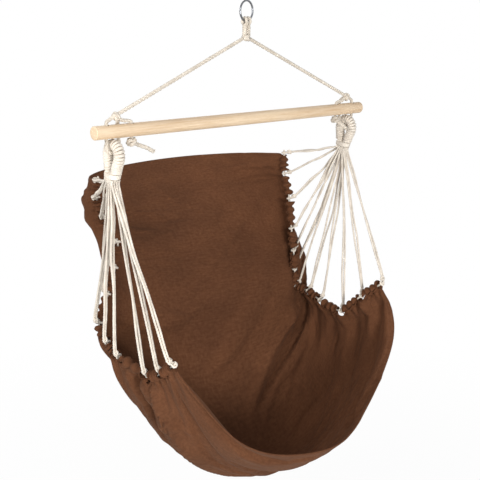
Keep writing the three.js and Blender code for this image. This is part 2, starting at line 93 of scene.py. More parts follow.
out_of_collar = leaned((0, 0, bight_z - 1)) - leaned((0, 0, bight_z))
print("bar axis at", round(bar_z, 4), "collar from", round(collar_bottom_z, 4))

# %% [markdown]
# ## Camera
# The photograph looks at the chair from one front corner, a little above the bar. The place and
# lens come from the two ends of the bar, whose real length is known: their places in the picture
# and the bar's thickness there fix the distance, the direction and the lens.

# %% Camera
heading, pitch, roll = math.radians(42.40), math.radians(15.53), math.radians(1.03)
focal_pixels, picture_size, sensor_width = 835.4, 480, 36.0
camera_place = Vector((-1.6057, -1.7489, bar_z + 0.3024))
forward = Vector((math.sin(heading) * math.cos(pitch), math.cos(heading) * math.cos(pitch),
                  -math.sin(pitch)))
level_right = Vector((math.cos(heading), -math.sin(heading), 0.0))
level_up = level_right.cross(forward)
right = math.cos(roll) * level_right + math.sin(roll) * level_up
up = right.cross(forward)
camera_data = bpy.data.cameras.new("photo_camera")
camera_data.sensor_width = sensor_width
camera_data.lens = focal_pixels * sensor_width / picture_size
camera = bpy.data.objects.new("photo_camera", camera_data)
bpy.context.scene.collection.objects.link(camera)
camera.matrix_world = Matrix((
    (right.x, up.x, -forward.x, camera_place.x),
    (right.y, up.y, -forward.y, camera_place.y),
    (right.z, up.z, -forward.z, camera_place.z),
    (0, 0, 0, 1)))
bpy.context.scene.camera = camera
print("lens", round(camera_data.lens, 1), "mm")

# %% [markdown]
# ## Small tools for lines
# Ropes and cloth both follow smooth lines through a few chosen points. A Catmull-Rom curve
# passes through every point, so a place can be set exactly, and needs no handles.


# %% Lines
def along(points, t):
    """Points of an even Catmull-Rom curve at shares t of its way."""
    p = np.asarray(points, float)
    p = p.reshape(len(p), -1)
    t = np.atleast_1d(np.asarray(t, float))
    ends = np.vstack([2 * p[0] - p[1], p, 2 * p[-1] - p[-2]])
    x = np.clip(t, 0, 1) * (len(p) - 1)
    k = np.minimum(x.astype(int), len(p) - 2)
    w = (x - k)[:, None]
    a, b, c, d = ends[k], ends[k + 1], ends[k + 2], ends[k + 3]
    return 0.5 * (2 * b + (c - a) * w + (2 * a - 5 * b + 4 * c - d) * w**2
                  + (3 * b - a - 3 * c + d) * w**3)


def unit(v):
    """The vectors v, or each row of them, at length one."""
    v = np.asarray(v, float)
    return v / np.maximum(np.linalg.norm(v, axis=-1, keepdims=True), 1e-12)


def even_line(points, step, smooth=8):
    """A smooth line through the points, with places about one step apart."""
    fine = along(points, np.linspace(0, 1, smooth * (len(points) - 1) + 1))
    run = np.concatenate([[0], np.cumsum(np.linalg.norm(np.diff(fine, axis=0), axis=1))])
    count = max(2, int(round(run[-1] / step)) + 1)
    where = np.linspace(0, run[-1], count)
    return np.stack([np.interp(where, run, fine[:, k]) for k in range(3)], 1)


bow = even_line([(0, 0, 0), (0.5, 0, 0.1), (1, 0, 0)], 10 * MM)
print("a flat bow in steps of 10 mm has", len(bow), "places")

# %% [markdown]
# ## Small tools for meshes
# Every piece is a mesh whose object stays at the origin, with its place in its vertices, so that
# patterns don't slide when its body moves. One helper makes such a piece, one joins several, and
# one ties a finished piece to its body and hides the solids that it stands for.


# %% Meshes
def new_piece(name, vertices, faces, material, smooth=True):
    """A mesh object at the origin with its place in its mesh."""
    mesh = bpy.data.meshes.new(name)
    mesh.from_pydata([tuple(v) for v in np.asarray(vertices)], [], [tuple(f) for f in faces])
    mesh.validate()
    mesh.update()
    if smooth:
        mesh.shade_smooth()
    piece = bpy.data.objects.new(name, mesh)
    bpy.context.scene.collection.objects.link(piece)
    mesh.materials.append(material)
    return piece


def triangle_count(piece):
    return sum(len(p.vertices) - 2 for p in piece.data.polygons)


def join_meshes(name, parts):
    """One object from several, with the first one's material; the parts are removed."""
    vertices, faces, base = [], [], 0
    for part in parts:
        vertices += [tuple(v.co) for v in part.data.vertices]
        faces += [tuple(base + i for i in p.vertices) for p in part.data.polygons]
        base = len(vertices)
    joined = new_piece(name, vertices, faces, parts[0].data.materials[0])
    for part in parts:
        bpy.data.objects.remove(part)
    return joined


def finish_piece(piece, body, slot_name, *nodes):
    """Ties a piece to its body and hides the solids it stands for; slot_name is not used."""
    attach(piece, body)
    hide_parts(*nodes)
    print(f"{piece.name}: {triangle_count(piece)} triangles")


print("helpers: new_piece, triangle_count, join_meshes and finish_piece")

# %% [markdown]
# ## Nodes
# Materials and Geometry Nodes are both made of nodes, whose inputs are either set or linked. One
# helper does both: it links an input where it gets another node's output, and else sets its value.


# %% Node helpers
def add_node(tree, kind, inputs=(), **settings):
    """A new node; inputs holds a value or another node's output for each input it names."""
    node = tree.nodes.new(kind)
    for name, value in settings.items():
        setattr(node, name, value)
    for key, value in dict(inputs).items():
        if isinstance(value, bpy.types.NodeSocket):
            tree.links.new(value, node.inputs[key])
        else:
            node.inputs[key].default_value = value
    return node


def math_node(tree, operation, *values):
    """The result of a Math node for numbers or other nodes' outputs."""
    return add_node(tree, "ShaderNodeMath", enumerate(values), operation=operation).outputs[0]


def srgb(r, g, b):
    """A colour written as 0 to 255 in sRGB, as the linear colour that the nodes use."""
    def linear(c):
        c /= 255
        return c / 12.92 if c <= 0.04045 else ((c + 0.055) / 1.055) ** 2.4
    return (linear(r), linear(g), linear(b), 1.0)


print("a middle grey of 128 is", round(srgb(128, 128, 128)[0], 3), "as a linear colour")

# %% [markdown]
# ## Materials
# Each finish is a small node tree on Object coordinates, or on the cloth's own map, so that it
# stays with the piece from every side. Most of them are the same few steps: a noise coloured
# between two tints, tints multiplied together, and a bump from a finer noise.


# %% Material helpers
def start_material(name, roughness, metallic=0.0, sheen=0.0):
    material = bpy.data.materials.new(name)
    material.use_nodes = True
    shader = material.node_tree.nodes["Principled BSDF"]
    for key, value in (("Roughness", roughness), ("Metallic", metallic), ("Sheen Weight", sheen)):
        shader.inputs[key].default_value = value
    return material, material.node_tree, shader


def coordinates(tree, kind="Object"):
    return add_node(tree, "ShaderNodeTexCoord").outputs[kind]


def noise(tree, where, scale, detail=3.0, stretch=None):
    """A noise texture; stretch squeezes the pattern along each axis."""
    if stretch is not None:
        where = add_node(tree, "ShaderNodeMapping",
                         {"Vector": where, "Scale": stretch}).outputs["Vector"]
    inputs = {"Vector": where, "Scale": scale, "Detail": detail}
    return add_node(tree, "ShaderNodeTexNoise", inputs).outputs["Fac"]


def tint(tree, fac, low, high=srgb(255, 255, 255), start=0.3, end=0.7):
    """Colours that run from low to high while the noise runs from start to end."""
    ramp = add_node(tree, "ShaderNodeValToRGB", {"Fac": fac})
    for stop, position, colour in zip(ramp.color_ramp.elements, (start, end), (low, high)):
        stop.position, stop.color = position, colour
    return ramp.outputs["Color"]


def multiply(tree, a, b, fac):
    """Colour a multiplied by colour b, by the share fac."""
    mix = add_node(tree, "ShaderNodeMix", {"Factor": fac, 6: a, 7: b},
                   data_type="RGBA", blend_type="MULTIPLY")
    return mix.outputs[2]


def bump(tree, shader, height, strength, distance, under=None):
    """A bump on the shader; it lies on another bump where under gives that one."""
    inputs = {"Height": height, "Strength": strength, "Distance": distance}
    if under is not None:
        inputs["Normal"] = under
    normal = add_node(tree, "ShaderNodeBump", inputs).outputs["Normal"]
    tree.links.new(normal, shader.inputs["Normal"])
    return normal


print("helpers: coordinates, noise, tint, multiply and bump")

# %% [markdown]
# ### Steel and cotton
# The ring is bright steel with faint clouds in it. The ropes and cords are cotton, a little
# darker in the ropes: a broad noise gives uneven bleaching, and a fine one the fuzz of the fibres.


# %% Steel and cotton
def make_steel():
    material, tree, shader = start_material("bright_steel", 0.22, metallic=1.0)
    where = coordinates(tree)
    shade = tint(tree, noise(tree, where, 60), srgb(104, 106, 110), srgb(140, 142, 146))
    tree.links.new(shade, shader.inputs["Base Color"])
    bump(tree, shader, noise(tree, where, 700, 2), strength=0.06, distance=0.2 * MM)
    return material


def make_cotton(name, low, high, fuzz=0.3):
    material, tree, shader = start_material(name, 0.92, sheen=0.12)
    where = coordinates(tree)
    broad = tint(tree, noise(tree, where, 40, 2), low, high)
    fine = tint(tree, noise(tree, where, 900, 3), srgb(226, 219, 207))
    tree.links.new(multiply(tree, broad, fine, 0.5), shader.inputs["Base Color"])
    bump(tree, shader, noise(tree, where, 1400, 3), strength=fuzz, distance=0.3 * MM)
    return material


steel = make_steel()
rope_cotton = make_cotton("laid_rope_cotton", srgb(196, 186, 172), srgb(218, 209, 196))
cord_cotton = make_cotton("cord_cotton", srgb(210, 200, 187), srgb(230, 222, 210))
print("materials:", [m.name for m in (steel, rope_cotton, cord_cotton)])

# %% [markdown]
# ### Wood
# The bar is sanded pale wood. Its grain runs along the bar, so each noise is stretched along X:
# broad bands of tone, narrow streaks on them, and short dark pores on those.


# %% Wood
def make_wood():
    material, tree, shader = start_material("sanded_wood", 0.55)
    where = coordinates(tree)
    broad = tint(tree, noise(tree, where, 22, 3, (0.12, 1, 1)),
                 srgb(206, 181, 151), srgb(222, 200, 170))
    streaks = tint(tree, noise(tree, where, 260, 4, (0.035, 1, 1)), srgb(236, 223, 205),
                   start=0.35, end=0.6)
    pores = tint(tree, noise(tree, where, 900, 2, (0.06, 1, 1)), srgb(206, 180, 148), end=0.42)
    grain = multiply(tree, multiply(tree, broad, streaks, 0.7), pores, 0.3)
    tree.links.new(grain, shader.inputs["Base Color"])
    bump(tree, shader, noise(tree, where, 500, 3, (0.05, 1, 1)), strength=0.25, distance=0.3 * MM)
    return material


wood = make_wood()
print("material:", wood.name)

# %% [markdown]
# ### Canvas and thread
# The seat is a matt brown plain weave. Two sets of fine bands across each other are its threads,
# noises stretched along both ways its thicker threads, and a broad bump its soft crumple. They
# all use the cloth's own map in metres, so the weave follows every fold. The thread is cotton too.


# %% Canvas and thread
def bands(tree, where, direction, scale=190):
    """Even bands for one set of threads; the scale is in bands for each metre or so."""
    inputs = {"Vector": where, "Scale": scale, "Distortion": 0.6, "Detail": 1.0}
    return add_node(tree, "ShaderNodeTexWave", inputs, wave_type="BANDS",
                    bands_direction=direction).outputs["Fac"]


def make_canvas():
    material, tree, shader = start_material("brown_canvas", 0.95, sheen=0.06)
    shader.inputs["Specular IOR Level"].default_value = 0.15
    shader.inputs["Sheen Roughness"].default_value = 0.5
    shader.inputs["Sheen Tint"].default_value = srgb(200, 165, 135)
    flat = coordinates(tree, "UV")
    colour = tint(tree, noise(tree, flat, 7, 4), srgb(91, 58, 38), srgb(105, 68, 45))
    for stretch, low, share in (((0.15, 1, 1), srgb(214, 206, 199), 0.45),
                                ((1, 0.15, 1), srgb(218, 210, 203), 0.3)):
        slub = tint(tree, noise(tree, flat, 240, 4, stretch), low, start=0.35, end=0.65)
        colour = multiply(tree, colour, slub, share)
    flecks = tint(tree, noise(tree, flat, 120, 5), srgb(222, 214, 208), start=0.35, end=0.62)
    tree.links.new(multiply(tree, colour, flecks, 0.7), shader.inputs["Base Color"])
    weave = math_node(tree, "ADD", bands(tree, flat, "X"), bands(tree, flat, "Y"))
    threads = bump(tree, shader, weave, strength=0.25, distance=0.4 * MM)
    bump(tree, shader, noise(tree, flat, 38, 5, (1, 0.6, 1)), strength=0.55, distance=3.5 * MM,
         under=threads)
    return material


def make_thread():
    material, tree, shader = start_material("sewing_thread", 0.8)
    where = coordinates(tree)
    twist = tint(tree, noise(tree, where, 700, 2), srgb(88, 56, 36), srgb(104, 68, 44))
    tree.links.new(twist, shader.inputs["Base Color"])
    bump(tree, shader, noise(tree, where, 1500, 2), strength=0.3, distance=0.2 * MM)
    return material


canvas, thread = make_canvas(), make_thread()
print("materials:", canvas.name, thread.name)

# %% [markdown]
# ## Geometry Nodes for ropes and stitches
# Ropes and seams repeat one shape along a line, so Geometry Nodes make them. Both trees take a
# path, a few sizes and a finish, and end in the same nodes. A tree runs on a curve, and the
# result becomes a plain mesh, because instances and live trees don't leave Blender well.


# %% Tree helpers
def start_tree(name, *sizes):
    """A tree with inputs for a path, sizes and a finish; gives the tree and those inputs."""
    tree = bpy.data.node_groups.new(name, "GeometryNodeTree")
    for socket, kind in (("Path", "Geometry"), *sizes, ("Finish", "Material")):
        tree.interface.new_socket(socket, in_out="INPUT", socket_type=f"NodeSocket{kind}")
    tree.interface.new_socket("Mesh", in_out="OUTPUT", socket_type="NodeSocketGeometry")
    return tree, add_node(tree, "NodeGroupInput").outputs


def end_tree(tree, given, mesh):
    """Ends a tree with a real mesh in its finish; gives the identifiers of its inputs."""
    real = add_node(tree, "GeometryNodeRealizeInstances", {"Geometry": mesh})
    finish = add_node(tree, "GeometryNodeSetMaterial",
                      {"Geometry": real.outputs["Geometry"], "Material": given["Finish"]})
    add_node(tree, "NodeGroupOutput", {"Mesh": finish.outputs["Geometry"]})
    return {item.name: item.identifier for item in tree.interface.items_tree
            if item.item_type == "SOCKET" and item.in_out == "INPUT"}


def run_tree(name, path, tree, inputs, values, material):
    """The mesh that a tree makes along a path, as a plain piece."""
    curve = bpy.data.curves.new(name + "_path", "CURVE")
    curve.dimensions = "3D"
    spline = curve.splines.new("POLY")
    spline.points.add(len(path) - 1)
    spline.points.foreach_set("co", np.c_[path, np.ones(len(path))].ravel())
    source = bpy.data.objects.new(name + "_path", curve)
    bpy.context.scene.collection.objects.link(source)
    modifier = source.modifiers.new("tree", "NODES")
    modifier.node_group = tree
    for key, value in values.items():
        modifier[inputs[key]] = value
    modifier[inputs["Finish"]] = material
    graph = bpy.context.evaluated_depsgraph_get()
    mesh = bpy.data.meshes.new_from_object(source.evaluated_get(graph))
    bpy.data.objects.remove(source)
    bpy.data.curves.remove(curve)
    mesh.name = name
    mesh.shade_smooth()
    mesh.materials.clear()
    mesh.materials.append(material)
    mesh.polygons.foreach_set("material_index", np.zeros(len(mesh.polygons), int))
    piece = bpy.data.objects.new(name, mesh)
    bpy.context.scene.collection.objects.link(piece)
    return piece


print("helpers: start_tree, end_tree and run_tree")

# %% [markdown]
# ### Twisted rope
# A laid rope is a few strands that wind round one another. One tree makes every rope, cord and
# winding of the chair: it copies the path once for each strand, moves each copy off the path in a
# direction that turns with the length run, and gives it a round section. A winding round a core
# is the same thing with one strand, a larger turn radius and a shorter lay.


# %% The winding tree
def make_winding_tree():
    tree, given = start_tree("winding", ("Strands", "Int"), ("Strand Radius", "Float"),
                             ("Turn Radius", "Float"), ("Lay Length", "Float"), ("Sides", "Int"))
    copies = add_node(tree, "GeometryNodeDuplicateElements",
                      {"Geometry": given["Path"], "Amount": given["Strands"]}, domain="SPLINE")
    run = add_node(tree, "GeometryNodeSplineParameter").outputs["Length"]
    turns = math_node(tree, "DIVIDE", run, given["Lay Length"])
    share = math_node(tree, "DIVIDE", copies.outputs["Duplicate Index"], given["Strands"])
    angle = math_node(tree, "MULTIPLY", math_node(tree, "ADD", turns, share), 2 * math.pi)

    def vector_node(operation, inputs):
        return add_node(tree, "ShaderNodeVectorMath", inputs, operation=operation).outputs[0]

    normal = add_node(tree, "GeometryNodeInputNormal").outputs[0]
    tangent = add_node(tree, "GeometryNodeInputTangent").outputs[0]
    side = vector_node("CROSS_PRODUCT", {0: tangent, 1: normal})
    moves = []
    for way, wave in ((normal, "COSINE"), (side, "SINE")):
        reach = math_node(tree, "MULTIPLY", math_node(tree, wave, angle), given["Turn Radius"])
        moves.append(vector_node("SCALE", {0: way, "Scale": reach}))
    strands = add_node(tree, "GeometryNodeSetPosition", {
        "Geometry": copies.outputs["Geometry"], "Offset": vector_node("ADD", enumerate(moves))})
    section = add_node(tree, "GeometryNodeCurvePrimitiveCircle",
                       {"Resolution": given["Sides"], "Radius": given["Strand Radius"]})
    skin = add_node(tree, "GeometryNodeCurveToMesh", {
        "Curve": strands.outputs["Geometry"], "Profile Curve": section.outputs["Curve"],
        "Fill Caps": True})
    return tree, end_tree(tree, given, skin.outputs["Mesh"])


winding_tree, winding_inputs = make_winding_tree()
print("winding tree inputs:", sorted(winding_inputs))

# %% [markdown]
# ### Rope of three strands
# Three strands that just touch have radii of 0.46 of the rope's and turn at 0.54 of it. These are
# thicker and closer, as pressed cotton is, and the rope keeps its diameter.


# %% Wound and laid lines
def wind(name, path, strands, strand_radius, turn_radius, lay, material, sides=6):
    values = {"Strands": strands, "Strand Radius": strand_radius, "Turn Radius": turn_radius,
              "Lay Length": lay, "Sides": sides}
    return run_tree(name, path, winding_tree, winding_inputs, values, material)


def single(name, path, radius, material, sides):
    """One plain round strand along a path."""
    return wind(name, path, 1, radius, 0.0, 1.0, material, sides)


strand_share, turn_share, lay_share = 0.58, 0.42, 3.4


def laid(name, points, diameter, material, step_share=0.28, sides=8):
    """A three-strand laid rope of that diameter along a smooth line through the points."""
    path = even_line(points, diameter * step_share)
    return wind(name, path, 3, strand_share * diameter / 2, turn_share * diameter / 2,
                diameter * lay_share, material, sides=sides)


print("the rope's strands are", round(strand_share * rope_dia / MM, 1), "mm thick and turn once in",
      round(lay_share * rope_dia / MM), "mm")

# %% [markdown]
# ## Ring
# The ring is one loop of round steel wire, welded shut. A torus of many faces would do, but the
# weld's low swelling is what makes it look like a real ring, so the wire's radius grows a little
# over a short stretch near the bottom of one side. The ring hangs turned a little about its
# upright axis, as in the photograph.


# %% Ring
weld_angle, weld_width, weld_height = math.radians(205), 0.06, 0.35 * MM
ring_turn = math.radians(9)


def make_ring(around=96, sides=20):
    vertices, faces = [], []
    for i in range(around):
        a = 2 * math.pi * i / around
        swell = weld_height * math.exp(-(((a - weld_angle) / weld_width) ** 2))
        for j in range(sides):
            b = 2 * math.pi * j / sides
            r = ring_radius + (ring_wire_dia / 2 + swell) * math.cos(b)
            x, y = r * math.sin(a), (ring_wire_dia / 2 + swell) * math.sin(b)
            vertices.append((x * math.cos(ring_turn) - y * math.sin(ring_turn),
                             x * math.sin(ring_turn) + y * math.cos(ring_turn),
                             ring_centre_z + r * math.cos(a)))
    for i in range(around):
        for j in range(sides):
            n, m = (i + 1) % around, (j + 1) % sides
            faces.append((i * sides + j, i * sides + m, n * sides + m, n * sides + j))
    return new_piece("steel_ring", vertices, faces, steel)


finish_piece(make_ring(), "ring", "ring_steel", "hanging_ring")

# %% [markdown]
# ## Crown
# The rope's middle lies over the ring's wire and its two halves are plaited together below it
# and bound by a knot from which they part. The plait is made of four rope lines that swing past
# each other on two crossed sines, the knot of two tight turns round them.


# %% Crown
arch_reach, arch_gap, arch_past, arch_end_drop = 6.4 * MM, 0.6 * MM, 0.25, 11 * MM
plait_top, plait_end = wire_z - 8 * MM, knot_z + 4 * MM
plait_reach, plait_depth, plait_turns, plait_dia = 8.6 * MM, 4.6 * MM, 1.25, 8 * MM
knot_reach, knot_depth, knot_turns = 8.4 * MM, 8.6 * MM, ((1.5 * MM, 0.3), (-6 * MM, -0.3))


def arch_line(x):
    """The line of a rope over the ring's wire, at x from its middle."""
    bend = ring_wire_dia / 2 + arch_gap + rope_radius
    arch = [(x, bend * math.cos(a), bend * math.sin(a))
            for a in np.linspace(-arch_past, math.pi + arch_past, 9)]
    first, last = [(x * 0.5, way * bend * 0.62, -arch_end_drop) for way in (1, -1)]
    return np.array([first, *arch, last]) + (0, 0, wire_z)


def plait_line(phase):
    line = []
    for u in np.linspace(0, 1, 25):
        a = 2 * math.pi * plait_turns * u + phase
        line.append((plait_reach * math.sin(a), plait_depth * math.sin(2 * a + 0.5),
                     plait_top + (plait_end - plait_top) * u))
    return line


def make_crown():
    parts = [laid(f"crown_arch_{k}", arch_line(x), rope_dia * 0.92, rope_cotton)
             for k, x in enumerate((-arch_reach, arch_reach))]
    parts += [laid(f"crown_plait_{k}", plait_line(k * math.pi / 2), plait_dia, rope_cotton)
              for k in range(4)]
    for k, (rise, tilt) in enumerate(knot_turns):
        loop = [(knot_reach * math.cos(a), knot_depth * math.sin(a),
                 knot_z + rise + knot_reach * tilt * math.cos(a))
                for a in np.linspace(0, 2 * math.pi, 17)]
        parts.append(laid(f"crown_turn_{k}", loop, rope_dia * 0.88, rope_cotton))
    return join_meshes("plaited_crown", parts)


finish_piece(make_crown(), "crown", "suspension_rope", "rope_crown")

# %% [markdown]
# ## Spreader bar
# The bar is a turned rod with broken edges and two rope holes near each end. The rod is lathed
# from a short profile; the holes are cut with a Boolean, which gives clean round mouths, and
# the fine grain comes from its material.


# %% Spreader bar
def turned_rod(name, profile, sides, material):
    """A rod along X from (x, radius) pairs."""
    vertices, faces = [(profile[0][0], 0, 0)], []
    for x, r in profile:
        for k in range(sides):
            a = 2 * math.pi * k / sides
            vertices.append((x, r * math.cos(a), r * math.sin(a)))
    vertices.append((profile[-1][0], 0, 0))
    last = len(vertices) - 1
    for k in range(sides):
        m = (k + 1) % sides
        faces.append((0, 1 + m, 1 + k))
        base = 1 + (len(profile) - 1) * sides
        faces.append((last, base + k, base + m))
        for i in range(len(profile) - 1):
            a, b = 1 + i * sides, 1 + (i + 1) * sides
            faces.append((a + k, a + m, b + m, b + k))
    return new_piece(name, np.array(vertices) + (0, 0, bar_z), faces, material)


def prism(outline, low, high):
    """Vertices and faces of an upright block whose outline is given as (x, y) places."""
    n = len(outline)
    vertices = [(*p, z) for z in (low, high) for p in outline]
    faces = [(i, (i + 1) % n, n + (i + 1) % n, n + i) for i in range(n)]
    return vertices, faces + [tuple(reversed(range(n))), tuple(range(n, 2 * n))]


straight_half, bar_sides, hole_sides = 0.44, 72, 40


def make_bar():
    half, r, c = bar_length / 2, bar_radius, bar_chamfer
    corner = [(c * (1 - math.cos(a)), r - c + c * math.sin(a))
              for a in np.linspace(0, math.pi / 2, 6)]
    profile = [(-half + x, y) for x, y in corner]
    profile += [(x, r) for x in np.linspace(-straight_half, straight_half, 12)]
    profile += [(half - x, y) for x, y in reversed(corner)]
    bar = turned_rod("wooden_bar", profile, bar_sides, wood)
    for k, x in enumerate((-outer_hole_x, -inner_hole_x, inner_hole_x, outer_hole_x)):
        a = np.linspace(0, 2 * math.pi, hole_sides, endpoint=False)
        mouth = np.c_[x + bar_hole_dia / 2 * np.cos(a), bar_hole_dia / 2 * np.sin(a)]
        drill = new_piece(f"drill_{k}", *prism(mouth, bar_z - bar_dia, bar_z + bar_dia), wood,
                          smooth=False)
        cut = bar.modifiers.new("hole", "BOOLEAN")
        cut.object, cut.solver = drill, "EXACT"
        graph = bpy.context.evaluated_depsgraph_get()
        mesh = bpy.data.meshes.new_from_object(bar.evaluated_get(graph))
        bar.modifiers.clear()
        bar.data = mesh
        bpy.data.objects.remove(drill)
    mesh.name = "wooden_bar"
    if not mesh.materials:
        mesh.materials.append(wood)
    mesh.set_sharp_from_angle(angle=math.radians(35))
    return bar


finish_piece(make_bar(), "spreader", "bar_wood", "spreader_bar")

# %% [markdown]
# ## Sling rope, hitches and stopper knots
# Each half of the rope comes down to a hitch above the bar. From the hitch one part goes down
# the outer hole, through the wound eye and up behind the bar again; another runs along the top
# of the bar, down the inner hole and ends in a stopper knot whose tail sticks out. All of them
# are the same laid rope, so one helper draws them along their routes.


# %% Routes of the rope
def lashing_route(side):
    top = bar_z + bar_radius
    turn = (rope_radius + rope_dia) * 0.9
    riser_x = eye_x - eye_radius - clearance - rope_radius - rope_dia / 5
    round_bar = bar_radius + rope_radius + rope_dia / 8
    r2 = math.sqrt(0.5)
    points = [
        (hitch_x, 0, hitch_z),
        (outer_hole_x - rope_dia, 0, top + 13 * MM),
        (outer_hole_x - rope_radius / 3, 0, top + rope_dia * 0.7),
        (outer_hole_x, 0, top + rope_dia / 4),
        (outer_hole_x, 0, bar_z),
        (outer_hole_x, 0, bight_z + turn),
        (outer_hole_x - turn * (1 - r2), 0, bight_z + turn * (1 - r2)),
        (outer_hole_x - turn, 0, bight_z),
        (eye_x, 0, bight_z),
        (eye_x - rope_dia, 0, bight_z),
        (riser_x + rope_dia / 4, rope_dia / 4, bight_z + rope_dia / 3),
        (riser_x, rope_dia, bight_z + rope_dia * 1.4),
    ]
    for degrees in (-60, -30, 0, 30, 55):
        a = math.radians(degrees)
        points.append((riser_x, round_bar * math.cos(a), bar_z + round_bar * math.sin(a)))
    points.append(((riser_x + hitch_x) / 2, rope_dia * 1.2, top + 11 * MM + rope_radius / 3))
    points.append((hitch_x, 0, hitch_z))
    return [(side * x, y, z) for x, y, z in points]


def route_length(points):
    return np.linalg.norm(np.diff(even_line(points, MM), axis=0), axis=1).sum()


def end_rope_route(side):
    top = bar_z + bar_radius
    points = [
        (hitch_x, 0, hitch_z),
        (hitch_x - rope_dia * 1.4, 0, top + rope_dia * 0.95),
        (inner_hole_x + rope_dia * 1.3, 0, top + rope_dia * 0.62),
        (inner_hole_x + rope_radius, 0, top + rope_dia * 0.5),
        (inner_hole_x + rope_radius / 4, 0, top + rope_dia / 4),
        (inner_hole_x, 0, bar_z + bar_radius / 2),
        (inner_hole_x, 0, bar_z - bar_radius / 2),
        (inner_hole_x, 0, stopper_z),
    ]
    return [(side * x, y, z) for x, y, z in points]


print("lashing", round(route_length(lashing_route(1)), 3), "m, rope end",
      round(route_length(end_rope_route(1)), 3), "m")

# %% [markdown]
# ### Knots and frayed ends
# A hitch or stopper knot is a tight ball of rope. A line that goes twice round an axis while it
# swings in and out three times passes through itself as a knot does. The rope's cut end opens
# into its yarns, each of them a thin strand that leans out by a seeded amount.


# %% Knots and frayed ends
def knot_line(centre, axis, radius, spread, turns=2):
    """A tight knot: a line that passes round the axis twice and through itself."""
    z = unit(axis)
    x = unit(np.cross(z, (0.31, 0.87, 0.2)))
    y = np.cross(z, x)
    line = []
    for t in np.linspace(0, 2 * math.pi, 40):
        r = radius * (1 + 0.36 * math.cos((turns + 1) * t))
        line.append(np.asarray(centre) + r * (math.cos(turns * t) * x + math.sin(turns * t) * y)
                    + spread * math.sin((turns + 1) * t) * z)
    return line


hitch_radius, hitch_spread, hitch_rope_dia = 6.6 * MM, 5 * MM, 9 * MM
golden_turn, yarn_radius = 2.4, 0.85 * MM


def frayed_end(end, way, count=14):
    """Loose yarns that spread a little at a rope's cut end."""
    rng = np.random.default_rng(41)
    way = unit(way)
    x = unit(np.cross(way, (0.2, 0.9, 0.3)))
    y = np.cross(way, x)
    yarns = []
    for k in range(count):
        a, r = golden_turn * k, rope_radius * 0.75 * math.sqrt((k + 0.5) / count)
        out = x * math.cos(a) + y * math.sin(a)
        root = end - way * 2 * MM + out * r
        spread, run = rng.uniform(0.1, 0.5), rng.uniform(5, 8) * MM
        line = [root, root + way * run * 0.5, root + way * run + out * run * spread]
        yarns.append(single("yarn", even_line(line, 1.5 * MM), yarn_radius, rope_cotton, sides=5))
    return yarns


hitch_line = knot_line((0, 0, 0), (0, 0, 1), hitch_radius, hitch_spread)
print("a hitch takes", round(route_length(hitch_line), 3), "m of rope")

# %% [markdown]
# ### The rope on both sides
# Each side has a leg, a hitch, a lashing, a rope end and a stopper knot with its tail. The tails
# point different ways, as the photograph shows, so their reach is given for each side.

# %% Rope pieces
tail_reach = {"left": (66 * MM, 0, -30 * MM), "right": (-14 * MM, -34 * MM, -26 * MM)}
hitch_drop = 3 * MM
ball_radius, ball_spread, ball_rope_dia, tail_dia = 7.6 * MM, 6 * MM, 11 * MM, 11.6 * MM


def rope_piece(name, node, points, diameter=rope_dia * 0.98):
    piece = laid(name, points, diameter, rope_cotton)
    finish_piece(piece, "spreader", "suspension_rope", node)


def make_rope_side(name, side):
    hitch = np.array((side * hitch_x, 0, hitch_z))
    crown_knot = np.array((0, 0, knot_z))
    direction = unit(hitch - crown_knot)
    start = crown_knot + direction * (crown_knot_dia / 2 + clearance)
    leg = [start * (1 - share) + hitch * share for share in (0, 0.34, 0.67, 1)]
    rope_piece(f"sling_leg_{name}", f"suspension_leg_{name}", leg, rope_dia)
    turns = knot_line(hitch - (0, 0, hitch_drop), direction, hitch_radius, hitch_spread)
    rope_piece(f"hitch_{name}", f"hitch_knot_{name}", turns, hitch_rope_dia)
    rope_piece(f"lashing_{name}", f"bar_lashing_{name}", lashing_route(side))
    rope_piece(f"rope_end_{name}", f"end_rope_{name}", end_rope_route(side))
    centre = np.array((side * inner_hole_x, 0, stopper_z))
    reach = np.array(tail_reach[name]) * (-side, 1, 1)
    ball_line = knot_line(centre, (0.15 * side, 0.1, 1), ball_radius, ball_spread)
    ball = laid("ball", ball_line, ball_rope_dia, rope_cotton)
    tail = laid("tail", [centre, centre + reach * 0.35, centre + reach * 0.7 + (0, 0, 2 * MM),
                         centre + reach], tail_dia, rope_cotton)
    stopper = join_meshes(f"stopper_{name}", [ball, tail, *frayed_end(centre + reach, reach)])
    finish_piece(stopper, "spreader", "suspension_rope", f"stopper_knot_{name}")


for side_name, side_sign in SIDES:
    make_rope_side(side_name, side_sign)

# %% [markdown]
# ## Wound eyes and collars
# The cords of one side are doubled into an eye, bound side by side with many tight turns, and
# drawn together below it by a wound collar. The same winding tree makes the turns: one strand, a
# turn radius as wide as the eye, and a lay of one cord's width.


# %% Eye and collar lines
leg_shares = ((0, 0), (0.04, 0.18), (0.4, 0.48), (0.85, 0.76))


def eye_line(side, step=1.5 * MM):
    """The eye's middle line; leg_shares are (outward, upward) shares of its legs."""
    foot_z = collar_top_z + clearance
    leg = [(eye_leg_spread + o * (eye_bend - eye_leg_spread), foot_z + u * (eye_centre_z - foot_z))
           for o, u in leg_shares]
    arch = [(eye_bend * math.cos(a), eye_centre_z + eye_bend * math.sin(a))
            for a in np.linspace(0, math.pi, 7)]
    points = [(side * eye_x, y, z) for y, z in leg + arch]
    points += [(side * eye_x, -y, z) for y, z in reversed(leg)]
    return leaned(even_line(points, step))


